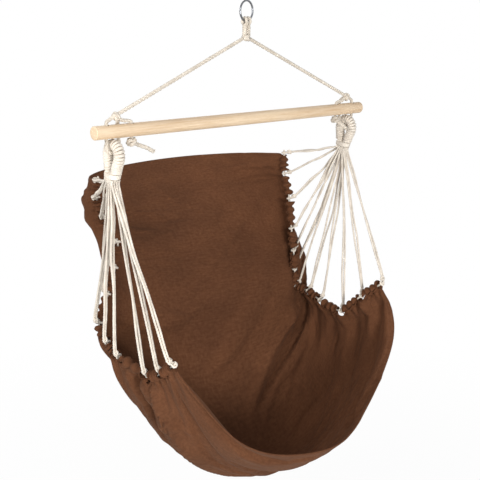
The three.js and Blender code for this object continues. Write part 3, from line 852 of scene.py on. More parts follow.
def racetrack(width, depth, count):
    """Points round a long loop with half-round ends, width along Y."""
    straight, r = width - depth, depth / 2
    bend = math.pi * r
    points = []
    for k in range(count):
        d = 2 * (straight + bend) * k / count
        way, d = (1, d) if d < straight + bend else (-1, d - straight - bend)
        a = max(d - straight, 0) / r
        points.append((way * r * math.cos(a),
                       way * (min(d, straight) - straight / 2 + r * math.sin(a))))
    return points


print("eye line", round(route_length(eye_line(1)), 3), "m")

# %% [markdown]
# ### Eyes and collars
# The eye's core is a bundle of seven strands, and its binding one cord whose turns lie side by
# side. The collar is one cord wound on a long loop, over a filling that closes its middle.


# %% Eyes and collars
bundle_strand, bundle_reach, bundle_lay = 3.3 * MM, 5 * MM, 160 * MM
turn_pitch, turn_radius = 6.8 * MM, 4.1 * MM
collar_cord, collar_swell, collar_points, fill_points = 4.6 * MM, 1.16, 48, 32


def make_eye(name, side):
    core = wind(f"eye_bundle_{name}", eye_line(side), 7, bundle_strand, bundle_reach, bundle_lay,
                cord_cotton, sides=8)
    finish_piece(core, "seat", "cord_yarn", f"eye_core_{name}")
    binding = wind(f"eye_binding_{name}", eye_line(side, 0.4 * MM), 1, turn_radius,
                   eye_radius - turn_radius, turn_pitch, cord_cotton, sides=10)
    finish_piece(binding, "seat", "cord_yarn", f"eye_whipping_{name}")


def make_collar(name, side):
    track = racetrack(collar_width - collar_cord, collar_depth - collar_cord, collar_points)
    steps = int(collar_height / collar_cord) * collar_points
    line = []
    for k in range(steps + 1):
        x, y = track[k % collar_points]
        z = collar_bottom_z + collar_cord / 2 + (collar_height - collar_cord) * k / steps
        line.append((side * eye_x + x, y, z))
    rings = single("rings", leaned(line), collar_cord * collar_swell / 2, cord_cotton, sides=10)
    inner = racetrack(collar_width - 2 * collar_cord, collar_depth - 2 * collar_cord, fill_points)
    vertices, faces = prism([(side * eye_x + x, y) for x, y in inner], collar_bottom_z + MM,
                            collar_top_z - MM)
    fill = new_piece("fill", leaned(vertices), faces, cord_cotton)
    collar = join_meshes(f"collar_{name}", [rings, fill])
    finish_piece(collar, "seat", "cord_yarn", f"clew_collar_{name}")


for side_name, side_sign in SIDES:
    make_eye(side_name, side_sign)
    make_collar(side_name, side_sign)

# %% [markdown]
# ## The cloth's rule
# The cloth hangs between two side edges. A rule gives its plain shape: each cross-section is an
# arc that turns between the two edges and dips to a middle line. The tables are shares of the
# seat's half span, reach and drop, from the top corners down to the front corners, and the turns
# are shares of a right angle. The lifts along the front hem are in millimetres, left to right.

# %% Cloth rule
seat_half_span, seat_reach, seat_drop = 0.4, 0.4, 1.067
left_edge_shares = (
    (0.93, 0.470, -0.151), (0.937, 0.480, -0.198), (0.905, 0.437, -0.249), (0.87, 0.335, -0.311),
    (0.89, 0.345, -0.379), (0.94, 0.365, -0.450), (1.015, 0.375, -0.527), (1.03, 0.250, -0.566),
    (1.01, 0.145, -0.594), (1.005, -0.192, -0.603), (1.015, -0.367, -0.573),
    (1.035, -0.515, -0.531))
right_edge_shares = (
    (0.925, 0.508, -0.152), (0.93, 0.502, -0.218), (0.905, 0.412, -0.291), (0.88, 0.350, -0.382),
    (0.915, 0.350, -0.456), (0.97, 0.380, -0.525), (1.005, 0.395, -0.586), (1.02, 0.262, -0.592),
    (1.01, 0.112, -0.607), (1.005, -0.132, -0.616), (1.015, -0.328, -0.549),
    (1.035, -0.512, -0.493))
middle_shares = (
    (0.968, -0.155), (0.846, -0.261), (0.598, -0.390), (0.425, -0.526),
    (0.268, -0.762), (-0.155, -0.995), (-0.548, -0.934), (-0.935, -0.780))
turn_shares = {"left": (1.05, 1.26, 1.27, 1.12, 0.98, 0.85, 0.92),
               "right": (0.91, 1.15, 1.38, 1.34, 1.18, 1.16, 1.20)}
hem_lifts = (0, -8, 16, 20, 28, 4, -14, -8, 4)


def edge_points(shares, side):
    return np.array([(side * x * seat_half_span, y * seat_reach, bar_z + z * seat_drop)
                     for x, y, z in shares])


edges = {"left": edge_points(left_edge_shares, -1), "right": edge_points(right_edge_shares, 1)}
middle_points = np.array([(0, y * seat_reach, bar_z + z * seat_drop) for y, z in middle_shares])


def plain_cloth(t, s):
    """Places of the cloth's plain shape; t from the top hem to the front, s from left to right."""
    t, s = np.broadcast_arrays(np.asarray(t, float), np.asarray(s, float))
    shape, t, s = t.shape, t.ravel(), s.ravel()
    from_edge, to_edge = along(edges["left"], t), along(edges["right"], t)
    middle = (from_edge + to_edge) / 2
    sag = along(middle_points, t) - middle
    turns = [along(np.array(turn_shares[side])[:, None], t)[:, 0] for side, _ in SIDES]
    turn = np.where(2 * s < 1, *turns) * math.pi / 2
    angle = turn * (2 * s - 1)
    across = np.sin(angle) / np.sin(turn)
    depth = (np.cos(angle) - np.cos(turn)) / (1 - np.cos(turn))
    place = middle + (to_edge - from_edge) * across[:, None] / 2 + sag * depth[:, None]
    return place.reshape(shape + (3,))


def grid_normals(grid):
    """Unit normals of a grid of places, by the differences along its two ways."""
    along_t, along_s = np.gradient(grid, axis=0), np.gradient(grid, axis=1)
    return unit(np.cross(along_s, along_t))


sections = plain_cloth(np.linspace(0, 1, 12)[:, None], np.linspace(0, 1, 200)[None, :])
section_lengths = np.linalg.norm(np.diff(sections, axis=1), axis=2).sum(1)
print("section lengths", section_lengths.round(3))

# %% [markdown]
# ## Gathers
# The cloth's side casings are over a third shorter than its middle, because they are gathered on
# the edge cord. The surplus stands up as ruffles at the casing, which join into larger folds and
# die out towards the middle. The start shape gets these as waves; the simulation settles them.

# %% Cloth grid
rows_t, rows_s = 12 * gathers + 1, 91
random_cloth = np.random.default_rng(7)
t_rows, even_s = np.linspace(0, 1, rows_t), np.linspace(0, 1, rows_s)
rim_density, phase_step = 0.06, 0.35
s_rows = even_s - rim_density * np.sin(2 * np.pi * even_s)
phase_walk = np.cumsum(random_cloth.normal(0, phase_step, rows_t))
fold_size = along(random_cloth.uniform(0.35, 1.0, (12, 1)), t_rows)[:, 0]
cloth_run = np.linalg.norm(np.diff(plain_cloth(t_rows, 0.5), axis=0), axis=1).sum()
print("middle line", round(cloth_run, 3), "m")

# %% [markdown]
# ## Main folds
# Where the cords and its own weight pull the cloth, it settles in a few long folds, which no two
# chairs share. Each one is drawn as a line on the flat cloth: a height in millimetres, which is
# positive on the outside of the seat, a width, and the (t, s) places it runs through, from the
# casing inwards. It rises quickly at the casing and fades out slowly, as a pulled fold does. The
# front flap's edge also leans back over the fold behind it, by a shift of the same kind.

# %% Main folds
fold_lines = (
    (-24, 24, ((0.517, 0.862), (0.562, 0.729), (0.604, 0.637), (0.637, 0.567), (0.671, 0.508))),
    (16, 10, ((0.588, 0.896), (0.60, 0.762), (0.621, 0.662), (0.637, 0.596), (0.646, 0.542))),
    (-9, 14, ((0.579, 0.929), (0.613, 0.762), (0.633, 0.662), (0.658, 0.588), (0.692, 0.537))),
    (8, 16, ((0.642, 0.912), (0.637, 0.783), (0.654, 0.704), (0.667, 0.662))),
    (14, 9, ((0.783, 0.929), (0.758, 0.887), (0.733, 0.846))),
    (10, 14, ((0.758, 0.846), (0.742, 0.779), (0.713, 0.704), (0.721, 0.633), (0.725, 0.583))),
    (-8, 22, ((0.80, 0.90), (0.821, 0.821), (0.85, 0.742))),
    (7, 18, ((0.842, 0.867), (0.854, 0.783), (0.883, 0.688))),
    (-12, 30, ((0.904, 0.983), (0.925, 0.929), (1.0, 0.846))),
    (-7, 16, ((0.062, 0.971), (0.062, 0.833), (0.075, 0.733))),
    (9, 16, ((0.108, 0.971), (0.121, 0.842), (0.117, 0.738))),
    (-42, 24, ((0.775, 0.012), (0.785, 0.062), (0.778, 0.158), (0.762, 0.225), (0.745, 0.292),
               (0.722, 0.36), (0.70, 0.43))),
    (22, 22, ((0.82, 0.012), (0.83, 0.062), (0.826, 0.158), (0.81, 0.225), (0.79, 0.292),
              (0.77, 0.36), (0.75, 0.43))),
    (9, 16, ((0.745, 0.021), (0.76, 0.104), (0.752, 0.20))),
    (6, 12, ((0.817, 0.092), (0.854, 0.142), (0.883, 0.196))),
    (4, 10, ((0.954, 0.267), (0.967, 0.438), (0.946, 0.529))),
    (4, 10, ((0.942, 0.25), (0.933, 0.375))),
    (3, 14, ((0.208, 0.458), (0.225, 0.487), (0.275, 0.383))),
    (12, 22, ((0.93, 0.58), (0.932, 0.70), (0.925, 0.82), (0.915, 0.93))),
    (5, 9, ((0.055, 0.10), (0.058, 0.24), (0.045, 0.42))),
    (-5, 10, ((0.095, 0.08), (0.115, 0.20), (0.128, 0.34))),
    (5, 9, ((0.135, 0.10), (0.165, 0.22), (0.20, 0.33))),
)
flap_shift = (40, 22, ((0.812, 0.012), (0.822, 0.062), (0.818, 0.158), (0.801, 0.225),
                       (0.783, 0.292), (0.763, 0.36), (0.745, 0.43)))


def smooth_step(x):
    x = np.clip(x, 0, 1)
    return x * x * (3 - 2 * x)


def fold_height(t, s, lengths, height, width, line):
    """The height of one fold at places t, s of the flat cloth, in metres."""
    u, v = s * lengths, t * cloth_run
    p = along(line, np.linspace(0, 1, 33))
    line_u, line_v = p[:, 1] * np.interp(p[:, 0], t[:, 0], lengths[:, 0]), p[:, 0] * cloth_run
    far = np.hypot(u[..., None] - line_u, v[..., None] - line_v)
    nearest, share = far.min(-1), far.argmin(-1) / 32
    taper = smooth_step(share / 0.12 + 0.25) * smooth_step((1 - share) / 0.6)
    return height * MM * taper * np.exp(-((nearest / (width * MM)) ** 2))


def main_folds(t, s, lengths):
    """How far the main folds lift the cloth outward at places t, s of its flat shape."""
    return sum(fold_height(t, s, lengths, *fold) for fold in fold_lines)


print(len(fold_lines), "main folds, from", min(f[0] for f in fold_lines), "to",
      max(f[0] for f in fold_lines), "mm high")

# %% [markdown]
# ### Start shape
# The simulation starts from the plain shape with two waves on it: one fold for each stretch
# between two cords, and three ruffles in each of those close to the casing. The cloth's edge
# keeps a little off the cord, and is cut out where a clew grips it. The cloth stays smoother near
# its top hem, where it hangs straight.

# %% Start shape
edge_inset, notch_reach, notch_width, hold_spacing = 5 * MM, 15 * MM, 9 * MM, 87 * MM
wave_height, wave_reach = 10 * MM, 80 * MM
ruffle_height, ruffle_reach, ruffle_start = 5 * MM, 40 * MM, 8 * MM


def notch_depth(t):
    """How far the cut-outs at the clews reach into the cloth's edge at t."""
    from_hold = np.abs(((t * gathers + 0.5) % 1.0) - 0.5) * hold_spacing
    return notch_reach * np.exp(-((from_hold / notch_width) ** 4))


def looseness(t, least):
    """How freely the cloth folds at t: least near the top hem, one from the seat on."""
    return least + (1 - least) * smooth_step((t - 0.42) / 0.15)


def start_grid():
    t = t_rows[:, None]
    lengths = along(section_lengths[:, None], t_rows)[:, 0][:, None]
    inset = edge_inset + notch_depth(t)
    s = (inset + (lengths - 2 * inset) * s_rows[None, :]) / lengths
    plain = plain_cloth(np.broadcast_to(t, s.shape), s)
    normal = grid_normals(plain)
    edge_distance = np.minimum(s, 1 - s) * lengths
    share = edge_distance / wave_reach
    folds = (wave_height * looseness(t, 0.3) * share * np.exp(1 - share)
             * np.sin(2 * np.pi * gathers * t) * fold_size[:, None])
    ruffles = (ruffle_height * np.exp(-((edge_distance / ruffle_reach) ** 2))
               * np.sin(2 * np.pi * 3 * gathers * t + phase_walk[:, None]))
    lift = folds + ruffles * np.clip(edge_distance / ruffle_start, 0, 1)
    return plain + normal * lift[..., None], plain


start_places, plain_places = start_grid()
print("cloth grid", start_places.shape)

# %% [markdown]
# ## Draping the cloth
# A flat rest shape tells the simulation how long every thread is. Each row is as long as its
# cross-section, and every column as long as the middle one, so the gathered sides hold a surplus.
# The casings are pinned on their edge cords and gravity does the rest for a second or so. The
# wide part of the moves is taken out again by a blur, and the rest is capped, so that the cloth
# keeps its folds and stays near its plain shape.

# %% Flat shape and blur
flat_ease = 1.01


def grid_faces(rows, columns):
    i, j = np.meshgrid(np.arange(rows - 1), np.arange(columns - 1), indexing="ij")
    a = (i * columns + j).ravel()
    return np.stack([a, a + 1, a + columns + 1, a + columns], 1)


def blurred(grid, share=0.08):
    """The wide part of a grid of vectors: a Gaussian blur along its two ways."""
    for axis in (0, 1):
        sigma = grid.shape[axis] * share
        reach = int(3 * sigma)
        weights = np.exp(-0.5 * (np.arange(-reach, reach + 1) / sigma) ** 2)
        weights /= weights.sum()
        padding = [(reach, reach) if k == axis else (0, 0) for k in range(3)]
        wide = np.pad(grid, padding, mode="reflect")
        grid = sum(w * np.take(wide, range(k, k + grid.shape[axis]), axis)
                   for k, w in enumerate(weights))
    return grid


def flat_shape(plain):
    """The cloth's grid laid flat, with the run of each row along it."""
    middle_run = np.linalg.norm(np.diff(plain[:, plain.shape[1] // 2], axis=0), axis=1)
    run_t = np.concatenate([[0], np.cumsum(middle_run)])
    widths = np.linalg.norm(np.diff(plain, axis=1), axis=2)
    run_s = np.concatenate([np.zeros((len(plain), 1)), np.cumsum(widths, 1)], 1)
    run_s = (run_s - run_s[:, -1:] / 2) * flat_ease
    down = np.broadcast_to(-run_t[:, None], run_s.shape)
    return np.stack([run_s, down, np.zeros_like(run_s)], 2), run_s


print("the flat shape is", np.ptp(flat_shape(plain_places)[0], axis=(0, 1)).round(3)[:2], "m")

# %% [markdown]
# ### Simulation
# The cloth is light, with stiff threads that hardly stretch and little stiffness in bending. Only
# the stretches of its rim between the cut-outs are pinned.

# %% Simulation
cloth_settings = {"quality": 6, "mass": 0.15, "tension_stiffness": 20,
                  "compression_stiffness": 20, "shear_stiffness": 6, "bending_stiffness": 0.08,
                  "air_damping": 3, "vertex_group_mass": "pins"}
drape_frames, move_cap, pin_notch, kept_rim = 34, 14 * MM, 3 * MM, 60 * MM


def let_hang(cloth, rest):
    """The places of the cloth's points after it has hung for some frames."""
    sim = cloth.modifiers.new("cloth", "CLOTH")
    for key, value in cloth_settings.items():
        setattr(sim.settings, key, value)
    sim.settings.rest_shape_key = rest
    sim.collision_settings.use_self_collision = False
    sim.point_cache.frame_start, sim.point_cache.frame_end = 1, drape_frames
    for frame_number in range(1, drape_frames + 1):
        bpy.context.scene.frame_set(frame_number)
    hung = cloth.evaluated_get(bpy.context.evaluated_depsgraph_get()).to_mesh()
    places = np.empty(len(hung.vertices) * 3)
    hung.vertices.foreach_get("co", places)
    bpy.context.scene.frame_set(1)
    return places


def drape(grid, plain):
    rows, columns = grid.shape[:2]
    cloth = new_piece("drape", grid.reshape(-1, 3), grid_faces(rows, columns), canvas)
    flat, run_s = flat_shape(plain)
    cloth.shape_key_add(name="hung")
    rest = cloth.shape_key_add(name="flat")
    rest.data.foreach_set("co", flat.ravel())
    rest.value = 0.0
    pins = cloth.vertex_groups.new(name="pins")
    held = np.flatnonzero(notch_depth(t_rows) < pin_notch)
    pins.add([int(i) * columns + j for j in (0, columns - 1) for i in held], 1.0, "REPLACE")
    move = let_hang(cloth, rest).reshape(grid.shape) - grid
    bpy.data.objects.remove(cloth)
    from_side = np.minimum(run_s - run_s[:, :1], run_s[:, -1:] - run_s)[..., None]
    print("largest move", np.linalg.norm(move, axis=2).max().round(3))
    move -= blurred(move) * smooth_step(from_side / kept_rim)
    size = np.linalg.norm(move, axis=2, keepdims=True)
    print("largest move without the wide part", size.max().round(3), "mean", size.mean().round(4))
    caps = move_cap * looseness(t_rows, 0.35)[:, None, None]
    return grid + move * caps * np.tanh(size / caps) / np.maximum(size, 1e-9)


hung_places = drape(start_places, plain_places)

# %% [markdown]
# ## The finished cloth
# The draped grid is sampled twice as finely with smooth curves both ways. Fine gathers at the
# casings and small creases all over are added as heights, the hems and casing bands get a double
# thickness, and the sheet is closed round its rim. The seat's map holds flat sizes in metres, so
# its weave is true to scale.


# %% Sheet helpers
def resample(grid, u, v):
    """Smooth places of a grid at index shares u along its rows and v along its columns."""
    rows, columns = grid.shape[:2]
    first = along(grid.reshape(rows, -1), u).reshape(len(u), columns, 3)
    return along(first.transpose(1, 0, 2).reshape(columns, -1), v).reshape(
        len(v), len(u), 3).transpose(1, 0, 2)


def closed_sheet(name, grid, thickness, material, flat_size=(1.0, 1.0)):
    """A closed sheet about a grid of places, with one thickness or one for each, and its map."""
    rows, columns = grid.shape[:2]
    half = np.broadcast_to(thickness, (rows, columns))[..., None] / 2
    normal = grid_normals(grid)
    top, under = grid + normal * half, grid - normal * half
    count = rows * columns
    faces = grid_faces(rows, columns)
    upper, lower = faces, faces[:, ::-1] + count
    rim = [*range(columns), *range(2 * columns - 1, count, columns),
           *range(count - 2, count - columns - 1, -1),
           *range(count - 2 * columns, 0, -columns)]
    band = [(b, a, a + count, b + count) for a, b in zip(rim, rim[1:] + rim[:1])]
    vertices = np.concatenate([top.reshape(-1, 3), under.reshape(-1, 3)])
    piece = new_piece(name, vertices, [*upper.tolist(), *lower.tolist(), *band], material)
    width, length = flat_size
    u, v = np.meshgrid(np.linspace(0, length, rows), np.linspace(0, width, columns), indexing="ij")
    flat = np.stack([v.ravel(), u.ravel()], 1)
    flat = np.concatenate([flat, flat])
    layer = piece.data.uv_layers.new(name="flat")
    loops = np.empty(len(piece.data.loops), int)
    piece.data.loops.foreach_get("vertex_index", loops)
    layer.data.foreach_set("uv", flat[loops].ravel())
    return piece


print("the finer grid has", (2 * rows_t - 1) * (2 * rows_s - 3), "places on each face")

# %% Finer cloth
cloth_thickness, hem_width, band_width = 1.6 * MM, 30 * MM, 42 * MM
flat_width, flat_length, flat_area = 1.30, 1.41, 1.50
even_rows, even_columns = np.linspace(0, 1, 2 * rows_t - 1), np.linspace(0, 1, 2 * rows_s - 3)
fine_places = resample(hung_places, even_rows, even_columns)
fine_widths = np.linalg.norm(np.diff(fine_places, axis=1), axis=2)
across_run = np.concatenate([np.zeros((len(even_rows), 1)), np.cumsum(fine_widths, 1)], 1)
insets = edge_inset + notch_depth(even_rows)[:, None]
from_rim = np.minimum(across_run, across_run[:, -1:] - across_run)
from_cord = from_rim + insets
fine_lengths = across_run[:, -1:] + 2 * insets
from_hem = (np.minimum(even_rows, 1 - even_rows) * cloth_run)[:, None]
print("fine grid", fine_places.shape)

# %% [markdown]
# ### Creases and gathers
# These are small heights on the draped cloth. The creases lie at seeded places and angles, mostly
# along the cords' pull near the sides, and the casing's seam draws up small even gathers.

# %% Creases and gathers
crease_height, crease_half_width, crease_margin = 3 * MM, 0.55, 20 * MM
gather_height, gather_reach, rim_fade = 2.6 * MM, 30 * MM, 6 * MM


def small_creases(count, seed):
    """Short shallow creases at seeded places and angles of the flat cloth."""
    rng = np.random.default_rng(seed)
    u = across_run - across_run[:, -1:] / 2
    v = even_rows[:, None] * cloth_run
    lift = np.zeros(u.shape)
    for _ in range(count):
        centre_u = rng.uniform(-crease_half_width, crease_half_width)
        centre_v = rng.uniform(crease_margin, cloth_run - crease_margin)
        angle = rng.normal(0.5 * math.pi if abs(centre_u) > 0.3 else 0.9, 0.7)
        length, width = rng.uniform(30, 80) * MM, rng.uniform(9, 15) * MM
        height = rng.uniform(-1, 1) * crease_height
        bend = rng.uniform(-3, 3)
        du, dv = u - centre_u, v - centre_v
        way = du * math.cos(angle) + dv * math.sin(angle)
        off = dv * math.cos(angle) - du * math.sin(angle) + bend * way**2
        lift += height * np.exp(-((way / length) ** 2) - (off / width) ** 2)
    return lift


def fine_gathers(seed):
    """The small even gathers that the casing's seam draws up along both sides."""
    rng = np.random.default_rng(seed)
    wander = along(rng.normal(0, 1.3, (30, 1)), even_rows)[:, 0]
    size = along(rng.uniform(0.4, 1.0, (24, 1)), even_rows)[:, 0]
    wave = np.sin(2 * np.pi * 4.4 * gathers * even_rows + wander) * size
    return gather_height * np.exp(-((from_cord / gather_reach) ** 2)) * wave[:, None]


at_rim = smooth_step(from_rim / rim_fade)
small_lift = (small_creases(130, 11) + fine_gathers(12)) * at_rim
print("small heights from", small_lift.min().round(4), "to", small_lift.max().round(4), "m")

# %% [markdown]
# ### The seat
# The main folds and the lifts of the front hem follow the plain shape's directions, because those
# of the draped cloth would tear them into ripples, and the small heights follow the draped ones.

# %% The seat
casing_fade, hem_start, thickened = (9 * MM, 18 * MM), 0.78, 0.9
fine_t, fine_s = even_rows[:, None], (across_run + insets) / fine_lengths
plain_fine = plain_cloth(fine_t, fine_s)
outward, toward_back = grid_normals(plain_fine), -unit(np.gradient(plain_fine, axis=0))
hem_lift = along(np.array(hem_lifts)[:, None] * MM, fine_s.ravel()).reshape(fine_s.shape)
from_casing = smooth_step((from_cord - casing_fade[0]) / casing_fade[1])
wide_lift = (main_folds(fine_t, fine_s, fine_lengths) * from_casing
             + hem_lift * smooth_step((fine_t - hem_start) / (1 - hem_start)) * at_rim)
shift = fold_height(fine_t, fine_s, fine_lengths, *flap_shift) * from_casing
fine_places = (fine_places + outward * wide_lift[..., None] + toward_back * shift[..., None]
               + grid_normals(fine_places) * small_lift[..., None])
doubled = np.maximum(smooth_step((hem_width - from_hem) / (4 * MM)),
                     smooth_step((band_width - from_cord) / (5 * MM)))
cloth_thicknesses = cloth_thickness * (1 + thickened * doubled)
seat = closed_sheet("hanging_seat", fine_places, cloth_thicknesses, canvas,
                    (flat_width, flat_length))
finish_piece(seat, "seat", "seat_fabric", "seat_cloth")

# %% [markdown]
# ## Stitches
# The hems and the casings are sewn with one row of small stitches each. A second tree sets a
# stitch every few millimetres along a line on the cloth and turns it the line's way. Each stitch
# is a short bead with pointed ends, of few faces, because there are some hundreds on each line.


# %% The stitching tree
def make_stitch_tree():
    tree, given = start_tree("stitching", ("Spacing", "Float"), ("Stitch Length", "Float"),
                             ("Thread Radius", "Float"))
    places = add_node(tree, "GeometryNodeCurveToPoints",
                      {"Curve": given["Path"], "Length": given["Spacing"]}, mode="LENGTH")
    bead = add_node(tree, "GeometryNodeMeshUVSphere", {"Segments": 6, "Rings": 4, "Radius": 1.0})
    half = math_node(tree, "MULTIPLY", given["Stitch Length"], 0.5)
    size = add_node(tree, "ShaderNodeCombineXYZ",
                    {"X": given["Thread Radius"], "Y": given["Thread Radius"], "Z": half})
    stitches = add_node(tree, "GeometryNodeInstanceOnPoints", {
        "Points": places.outputs["Points"], "Instance": bead.outputs["Mesh"],
        "Rotation": places.outputs["Rotation"], "Scale": size.outputs["Vector"]})
    return tree, end_tree(tree, given, stitches.outputs["Instances"])


stitch_tree, stitch_inputs = make_stitch_tree()
print("stitching tree inputs:", sorted(stitch_inputs))

# %% [markdown]
# ### Seams
# The seams run on both faces, just inside the edges of the hems and casings. Those along the
# casings keep the same distance to the edge cord, so they are found row by row.


# %% Seams on the cloth
def seam_lines():
    """Lines on both faces of the cloth: inside each hem's edge and each casing's edge."""
    normal = grid_normals(fine_places)
    inside = int(round((hem_width - seam_margin) / cloth_run * (len(even_rows) - 1)))
    seam_run = band_width - seam_margin - insets[:, 0]
    for way in (-1, 1):
        raised = fine_places + normal * (way * (cloth_thicknesses / 2 + seam_rise))[..., None]
        for row in (inside, len(even_rows) - 1 - inside):
            yield raised[row, 2:-2]
        for run in (across_run, across_run[:, ::-1][:, :1] - across_run[:, ::-1]):
            cloth = raised if run is across_run else raised[:, ::-1]
            yield np.array([[np.interp(seam_run[i], run[i], cloth[i, :, k]) for k in range(3)]
                            for i in range(2, len(even_rows) - 2)])


seam_margin, seam_rise = 6 * MM, 0.1 * MM
stitch_sizes = {"Spacing": 4.2 * MM, "Stitch Length": 3.3 * MM, "Thread Radius": 0.35 * MM}
seams = [run_tree(f"seam_{k}", line, stitch_tree, stitch_inputs, stitch_sizes, thread)
         for k, line in enumerate(seam_lines())]
stitching = join_meshes("seat_stitching", seams)
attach(stitching, "seat")
print(stitching.name, triangle_count(stitching))

# %% [markdown]
# ## Edge cords and casings
# A cord runs in a sewn casing along each side. The casing is bunched up on it, and is cut away
# where a clew grips the cord. Each stretch of casing is a small tube of cloth round the cord,
# whose radius swells and shrinks in uneven ruffles that open at its ends.

# %% Edge cords and casings
casing_gap, casing_radius, casing_thickness = 0.135, 10.6 * MM, 1.4 * MM
casing_ruffle, casing_twist, casing_slit, cord_past_hold = 4.2 * MM, 1.3 * MM, 0.1, 9 * MM


def casing_stretch(edge, t_from, t_to, seed, around=20, steps=44):
    """A grid of places round the edge cord, open towards the cloth's middle."""
    rng = np.random.default_rng(seed)
    t = np.linspace(t_from, t_to, steps)
    centre = along(edge, t)
    tangent = unit(np.gradient(centre, axis=0))
    inward = unit(along(middle_points, t) - centre)
    x = unit(inward - (inward * tangent).sum(1, keepdims=True) * tangent)
    y = np.cross(tangent, x)
    v = np.linspace(casing_slit, 2 * math.pi - casing_slit, around)
    pleats = np.cumsum(rng.uniform(0.12, 0.72, steps)) + rng.uniform(0, 6)
    lean = rng.uniform(-1.2, 1.2)
    flare = 1 + 0.5 * (np.abs(np.linspace(-1, 1, steps)) ** 6)
    ruffle = casing_ruffle * np.sin(pleats[:, None] + lean * np.sin(v)[None, :]) * flare[:, None]
    twist = casing_twist * np.sin(2 * v[None, :] + pleats[:, None] * 0.6)
    radius = casing_radius + ruffle + twist
    return (centre[:, None] + x[:, None] * (radius * np.cos(v))[..., None]
            + y[:, None] * (radius * np.sin(v))[..., None])


def make_edge(name, first_seed):
    edge = edges[name]
    line = along(edge, np.linspace(0, 1, 140))
    line = np.vstack([line[0] + unit(line[0] - line[1]) * cord_past_hold, line,
                      line[-1] + unit(line[-1] - line[-2]) * cord_past_hold])
    cord = laid(f"edge_cord_{name}", line, 2 * stringer_radius, cord_cotton)
    finish_piece(cord, "seat", "cord_yarn", f"stringer_{name}")
    parts = []
    for k in range(gathers):
        grid = casing_stretch(edge, (k + casing_gap) / gathers, (k + 1 - casing_gap) / gathers,
                              first_seed + k)
        parts.append(closed_sheet("casing", grid, casing_thickness, canvas))
    casing = join_meshes(f"casing_{name}", parts)
    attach(casing, "seat")
    print(casing.name, triangle_count(casing))


make_edge("left", 100)
make_edge("right", 200)

# %% [markdown]
# ## Clews
# Twelve doubled cords fan out from each collar. Each is one cord: it comes down from the collar,
# is knotted, loops round the edge cord and goes back up. The lean of its lower end follows the
# solid's rule, so the knots sit where the solids have them. In the collar the cords stand in two
# rows, in the order in which their lower ends lie, so that none has to cross another.

# %% Clew routes
strand_spacing, strand_drop, strand_drop_step, strand_drop_steps = 6.8 * MM, 6 * MM, 5 * MM, 2
clew_knot_rise, clew_knot_length = 18 * MM, 17 * MM
square_lean, outward_lean = 0.6, 1.0
strand_stray, strand_slack, strand_out = 2.2 * MM, 3.5 * MM, 0.6 * MM
slack_strands = {("right", 7, 1): 15 * MM, ("right", 5, -1): 8 * MM, ("left", 2, 1): 7 * MM}
tie_radius, tie_spread, tie_cord_dia, strand_swell = 4.5 * MM, 5.2 * MM, 5.2 * MM, 1.22


def edge_tangent(edge, t, step=1e-4):
    low, high = max(t - step, 0), min(t + step, 1)
    return unit(along(edge, high)[0] - along(edge, low)[0])


def clew_routes(name, side):
    """For each clew: its number, its two upper ends, drop, hold and the edge's way there."""
    edge = edges[name]
    holds = []
    collar_centre = leaned((side * eye_x, 0, collar_bottom_z))
    for k in range(clew_count):
        hold = along(edge, k / gathers)[0]
        reach = hold - collar_centre
        holds.append((math.atan2(reach[1], -reach[2]), k, hold))
    holds.sort(reverse=True)
    for column in range(clew_count // 2):
        y = ((clew_count / 2 - 1) / 2 - column) * strand_spacing
        drop = strand_drop + strand_drop_step * min(column, strand_drop_steps)
        pair = sorted(holds[2 * column:2 * column + 2], key=lambda h: side * h[2][0])
        for place, (_, k, hold) in enumerate(pair):
            middle_x = eye_x + (2 * place - 1) * strand_spacing
            starts = [leaned((side * (middle_x + way * strand_spacing / 2), y,
                              collar_bottom_z - clearance)) for way in (-1, 1)]
            yield k, starts, drop, hold, edge_tangent(edge, k / gathers)


clew_runs = [np.linalg.norm(starts[0] - hold) for name, side in SIDES
             for _, starts, _, hold, _ in clew_routes(name, side)]
print("clews from", min(clew_runs).round(3), "to", max(clew_runs).round(3), "m, each doubled")

# %% [markdown]
# ### Clew cords
# No two strands hang quite alike, so each sags and strays a little by seeded amounts, and three
# of them are plainly slack, as in the photograph.


# %% Clew cords
def make_clew(name, side, k, starts, drop, hold, way_along):
    rng = np.random.default_rng(300 + 20 * side + k)
    start = (starts[0] + starts[1]) / 2 + out_of_collar * drop
    pull = unit(start - hold)
    square = unit(pull - way_along * pull.dot(way_along))
    outward = unit(np.cross(way_along, square))
    if outward[0] * side < 0:
        outward = -outward
    lean = unit(pull + square * square_lean + outward * outward_lean)
    knot = hold + lean * clew_knot_rise
    loop = (stringer_radius + strand_radius + clearance) / math.cos(math.pi / 8)
    apart = strand_radius + clearance

    def strand(origin, sign):
        low = origin + out_of_collar * drop
        tie = knot + outward * sign * apart + lean * clew_knot_length / 4
        slack = slack_strands.get((name, k, sign), strand_slack)
        line = [origin, low]
        for share in (0.2, 0.4, 0.6, 0.8):
            sag = slack * math.sin(math.pi * share) * np.array((0.3 * side, 0.0, -1.0))
            stray = rng.normal(0, 1, 3) * strand_stray * math.sin(math.pi * share)
            line.append(low * (1 - share) + tie * share + sag + outward * sign * strand_out
                        + stray)
        return line + [tie, hold + outward * sign * loop + square * strand_radius]

    under = [hold + outward * loop * math.sin(a) - square * loop * math.cos(a)
             for a in (-math.pi / 4, 0, math.pi / 4)]
    cord = laid("cord", strand(starts[0], -1) + under + strand(starts[1], 1)[::-1],
                2 * strand_radius * strand_swell, cord_cotton, sides=5, step_share=0.42)
    tie = laid("tie", knot_line(knot, lean, tie_radius, tie_spread), tie_cord_dia, cord_cotton,
               sides=5)
    clew = join_meshes(f"clew_cord_{name}_{k + 1:02d}", [cord, tie])
    finish_piece(clew, "seat", "cord_yarn", f"clew_{name}_{k + 1:02d}")


